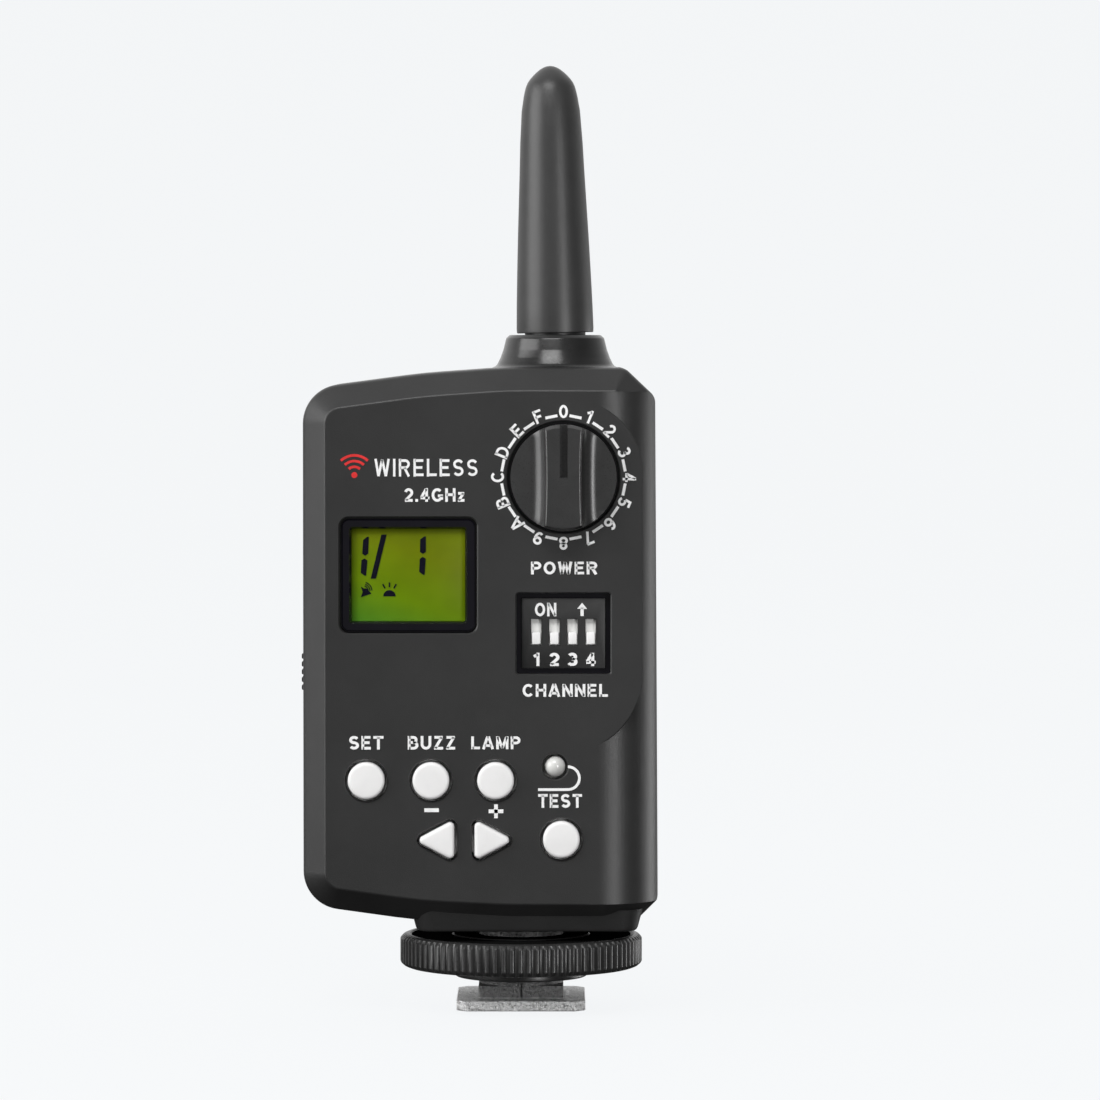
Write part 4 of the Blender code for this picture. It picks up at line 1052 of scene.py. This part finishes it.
def ribbon(form, points, width):
    """A flat stroke in the X, Y plane, one unit thick, its joints mitred. It closes if its ends meet."""
    places = [Vector(point) for point in points]
    closed = (places[0] - places[-1]).length < 1e-6
    if closed:
        places.pop()
    count = len(places)
    rows = []
    for index, place in enumerate(places):
        ways = []
        if index or closed:
            ways.append((place - places[index - 1]).normalized())
        if index < count - 1 or closed:
            ways.append((places[(index + 1) % count] - place).normalized())
        middle = sum(ways, Vector((0, 0))).normalized()
        across = Vector((-middle.y, middle.x))
        straight = Vector((-ways[0].y, ways[0].x))
        reach = across * width / 2 / max(0.6, across.dot(straight))
        sides = (place + reach, place - reach)
        rows.append([form.verts.new((p.x, p.y, z)) for z in (0.5, -0.5) for p in sides])
    for index in range(count if closed else count - 1):
        a = rows[index]
        b = rows[(index + 1) % count]
        for first, second in ((0, 1), (1, 3), (3, 2), (2, 0)):
            form.faces.new((a[first], b[first], b[second], a[second]))
    if not closed:
        for row in (rows[0], rows[-1]):
            form.faces.new((row[0], row[1], row[3], row[2]))


def lettering(text, stroke):
    """Printed letters as a thin solid in the X, Y plane, with its bounds. A capital is one unit high."""
    form = bmesh.new()
    x = 0.0
    for character in text:
        width, strokes = GLYPHS[character]
        for points in strokes:
            ribbon(form, [(x + a, b) for a, b in points], stroke)
        x += width + 0.16
    bmesh.ops.recalc_face_normals(form, faces=form.faces)
    mesh = bpy.data.meshes.new("letters")
    form.to_mesh(mesh)
    form.free()
    mesh.materials.append(INK)
    places = [vertex.co for vertex in mesh.vertices]
    low = Vector((min(p.x for p in places), min(p.y for p in places)))
    high = Vector((max(p.x for p in places), max(p.y for p in places)))
    return mesh, low, high


def printed(name, mesh, matrix):
    """Letters laid on a plane that faces the front."""
    mesh.transform(matrix)
    obj = bpy.data.objects.new(name, mesh)
    bpy.context.scene.collection.objects.link(obj)
    return obj


def print_matrix(centre, turn, scale_x, scale_z, middle, surface_y):
    """Takes letters from their own plane to the object, with their middle at the centre."""
    shift = Matrix.Translation((-middle.x, -middle.y, 0))
    scale = Matrix.Diagonal((scale_x * MM, scale_z * MM, MARK_THICK * MM, 1.0))
    spin = Matrix.Rotation(turn, 4, "Z")
    upright = Matrix.Rotation(math.pi / 2, 4, "X")
    place = Matrix.Translation((centre[0] * MM, surface_y * MM, centre[1] * MM))
    return place @ upright @ spin @ scale @ shift


def white_print(obj):
    dressed(obj, "case", [], 30.0)


def label(name, text, centre, size, stroke=0.2, surface_y=FRONT):
    mesh, low, high = lettering(text, stroke)
    width, height = size
    scale_x = width / (high.x - low.x)
    scale_z = height / (high.y - low.y)
    middle = (low + high) / 2
    white_print(printed(name, mesh, print_matrix(centre, 0.0, scale_x, scale_z, middle, surface_y)))


def strip(points, width, material=INK, surface_y=FRONT):
    """A flat printed line through points on the front."""
    form = bmesh.new()
    ribbon(form, points, width)
    matrix = print_matrix((0.0, 0.0), 0.0, 1.0, 1.0, Vector((0, 0)), surface_y)
    bmesh.ops.transform(form, matrix=matrix, verts=form.verts)
    return new_object("strip", form, material)


def dial_legend():
    """Sixteen figures round the dial with a dash between each two."""
    hub = Vector((5.99, 75.42))
    face = FRONT - PAD_PROUD
    step = 2 * math.pi / 16
    pieces = []
    for index, character in enumerate("0123456789ABCDEF"):
        mesh, low, high = lettering(character, 0.185)
        angle = step * index
        centre = hub + Vector((math.sin(angle), math.cos(angle))) * 9.2
        middle = Vector(((low.x + high.x) / 2, 0.5))
        pieces.append(printed("digit", mesh, print_matrix(centre, -angle, 1.87, 1.87, middle, face)))
        half = step * (index + 0.5)
        middle = hub + Vector((math.sin(half), math.cos(half))) * 8.62
        along = Vector((math.cos(half), -math.sin(half))) * 0.86
        pieces.append(strip([middle - along, middle + along], 0.40, surface_y=face))
    white_print(joined(pieces, "dial_legend"))


def channel_print():
    """ON, an arrow and the four numbers, on the face of the switch block."""
    label("label_on", "ON", (3.5, 56.9), (3.0, 1.9), surface_y=DIP_FRONT)
    for index, width in enumerate((0.9, 1.4, 1.4, 1.4)):
        centre = (DIP[0] + (index - 1.5) * DIP_PITCH, 49.92)
        number = str(index + 1)
        label("label_channel_" + number, number, centre, (width, 1.86), 0.22, DIP_FRONT)
    shaft = strip([(8.6, 56.0), (8.6, 57.2)], 0.45, surface_y=DIP_FRONT)
    head = flat_mark([(7.9, 57.0), (9.3, 57.0), (8.6, 57.85)], INK, DIP_FRONT)
    white_print(joined([shaft, head], "label_way_on"))


def radio_mark():
    """A dot with three arcs over it."""
    x, z = -23.2, 75.75
    marks = [flat_mark(circle((x, z), 0.42, 24), RED_INK, FRONT)]
    turns = arc_angles(-0.75, 0.75, 14)
    for radius in (1.15, 1.95, 2.75):
        arc = [(x + radius * math.sin(turn), z + radius * math.cos(turn)) for turn in turns]
        marks.append(strip(arc, 0.36, RED_INK))
    white_print(joined(marks, "label_radio_mark"))


def printing():
    pad = FRONT - PAD_PROUD
    label("label_set", "SET", (-21.58, 38.3), (4.8, 1.9))
    label("label_buzz", "BUZZ", (-12.47, 38.3), (6.63, 1.9))
    label("label_lamp", "LAMP", (-3.46, 38.3), (6.9, 1.9))
    label("label_test", "TEST", (5.52, 30.15), (6.14, 1.93))
    label("label_power", "POWER", (6.09, 62.74), (9.27, 1.9), surface_y=pad)
    label("label_channel", "CHANNEL", (6.24, 45.64), (11.93, 1.9), surface_y=pad)
    label("label_band", "2.4GHz", (-12.02, 72.97), (8.39, 1.9))
    label("label_heading", "WIRELESS", (-13.2, 76.75), (14.4, 2.6), 0.15)
    channel_print()
    minus = strip([(-13.48, 28.85), (-11.44, 28.85)], 0.54)
    minus.name = "label_minus"
    white_print(minus)
    bars = [strip([(-4.47, 28.7), (-2.43, 28.7)], 0.52), strip([(-3.45, 27.72), (-3.45, 29.68)], 0.52)]
    white_print(joined(bars, "label_plus"))
    turns = arc_angles(0, math.pi, 24)
    curl = [(6.62 + 1.6 * math.sin(turn), 33.34 + 1.6 * math.cos(turn)) for turn in turns]
    hook = strip([*curl, (4.5, 31.73), (2.44, 31.73)], 0.38)
    hook.name = "label_lamp_hook"
    white_print(hook)
    radio_mark()
    dial_legend()


case()
antenna()
dial()
display()
channel_switches()
buttons()
status_lamp()
power_switch()
battery_door()
battery_cells()
shoe_foot()
lock_ring()
printing()

# ---------------------------------------------------------------- finishes of the CAD nodes that stay
FINISH = {
    "gloss_black": COLLAR,
    "case_black": INNER,
    "rubber_black": RUBBER,
    "white_plastic": WHITE,
    "clear_plastic": CLEAR,
    "display_window": BEZEL,
    "display_glass": PANEL,
    "board_green": BOARD,
    "chip_black": CHIP,
    "steel": STEEL,
    "foot_metal": FOOT,
    "brass": BRASS,
    "cell_skin": CELL,
}
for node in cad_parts.values():
    for slot in node.material_slots:
        base = slot.material.name.split(".")[0] if slot.material else "case_black"
        slot.material = FINISH.get(base, INNER)


# ---------------------------------------------------------------- studio
def paper_room():
    """A pale floor that curves up all round into a wall. It is seen, and lets the studio light through."""
    floor_z = -0.0006
    line = [(0.0, floor_z), (1.6, floor_z)]
    turns = arc_angles(0.1, math.pi / 2, 16)
    line += [(1.6 + 0.8 * math.sin(turn), floor_z + 0.8 - 0.8 * math.cos(turn)) for turn in turns]
    line.append((2.4, 3.2))
    form = bmesh.new()
    sides = 96
    rows = []
    for radius, z in line:
        angles = [2 * math.pi * n / sides for n in range(sides if radius else 1)]
        rows.append([form.verts.new((radius * math.cos(a), radius * math.sin(a), z)) for a in angles])
    for near, far in zip(rows, rows[1:]):
        for index in range(sides):
            after = (index + 1) % sides
            if len(near) == 1:
                form.faces.new((near[0], far[index], far[after]))
            else:
                form.faces.new((near[index], near[after], far[after], far[index]))
    made = Surface("studio_paper")
    made.link(
        made.ramp(made.noise(3.0, 2.0), [(0.3, (0.035, 0.035, 0.035)), (0.7, (0.04, 0.04, 0.04))]),
        made.shader.inputs["Base Color"],
    )
    made.shader.inputs["Roughness"].default_value = 0.95
    made.shader.inputs["Specular IOR Level"].default_value = 0.0
    made.shader.inputs["Emission Color"].default_value = (0.945, 0.962, 0.975, 1.0)
    made.shader.inputs["Emission Strength"].default_value = PAPER_GLOW
    paper = new_object("studio_paper", form, made.material)
    paper.data.shade_smooth()
    paper.visible_diffuse = False
    paper.visible_glossy = False
    paper.visible_shadow = False
    paper.visible_transmission = False


def softbox(name, azimuth, elevation, distance, size, radiance):
    """An even light panel that faces the object, from azimuth 0 in front or +90 on its right."""
    turn = math.radians(azimuth)
    rise = math.radians(elevation)
    target = Vector((0.0, 0.0, 0.06))
    way = Vector((math.sin(turn) * math.cos(rise), -math.cos(turn) * math.cos(rise), math.sin(rise)))
    light = bpy.data.lights.new(name, "AREA")
    light.shape = "RECTANGLE"
    light.size, light.size_y = size
    light.energy = radiance * math.pi * size[0] * size[1]
    obj = bpy.data.objects.new(name, light)
    bpy.context.scene.collection.objects.link(obj)
    obj.location = target + way * distance
    obj.rotation_euler = way.to_track_quat("Z", "Y").to_euler()
    obj.visible_camera = False


def room_light():
    """Bright behind, dimmer in front and on the right, dark below."""
    world = bpy.data.worlds.new("studio")
    bpy.context.scene.world = world
    world.use_nodes = True
    tree = world.node_tree
    background = tree.nodes["Background"]
    background.inputs["Color"].default_value = (1.0, 1.0, 1.0, 1.0)
    split = tree.nodes.new("ShaderNodeSeparateXYZ")
    tree.links.new(tree.nodes.new("ShaderNodeTexCoord").outputs["Generated"], split.inputs["Vector"])
    strength = None
    # Each row: the direction, from where to where the light changes along it, and the light at both.
    changes = (("Z", -0.20, 0.15, 0.03, 1.0), ("Y", -0.3, 0.5, 0.30, 1.1), ("X", 0.2, 0.9, 1.0, 0.5))
    for axis, *values in changes:
        span = tree.nodes.new("ShaderNodeMapRange")
        for key, value in zip(("From Min", "From Max", "To Min", "To Max"), values):
            span.inputs[key].default_value = value
        tree.links.new(split.outputs[axis], span.inputs["Value"])
        if strength is None:
            strength = span.outputs["Result"]
            continue
        product = tree.nodes.new("ShaderNodeMath")
        product.operation = "MULTIPLY"
        tree.links.new(strength, product.inputs[0])
        tree.links.new(span.outputs["Result"], product.inputs[1])
        strength = product.outputs["Value"]
    tree.links.new(strength, background.inputs["Strength"])


def studio():
    paper_room()
    room_light()
    softbox("side_left", -66, 15, 1.1, (0.90, 0.80), 4.6)
    softbox("key_top", -10, 46, 1.2, (0.70, 0.40), 8.3)
    softbox("strip_right", 31, -2, 1.1, (0.28, 0.44), 10.5)
    softbox("low_right", 119, -9, 1.0, (0.46, 0.34), 3.5)
    camera = bpy.data.cameras.new("camera")
    camera.sensor_width = 36.0
    camera.lens = 184.3
    camera.clip_start = 0.01
    camera.clip_end = 20.0
    eye = bpy.data.objects.new("camera", camera)
    bpy.context.scene.collection.objects.link(eye)
    eye.location = (0.00411, -0.800, 0.0952)
    eye.rotation_euler = (math.radians(90 - 2.18), 0, 0)
    bpy.context.scene.camera = eye
    bpy.context.scene.view_settings.view_transform = "Standard"


studio()
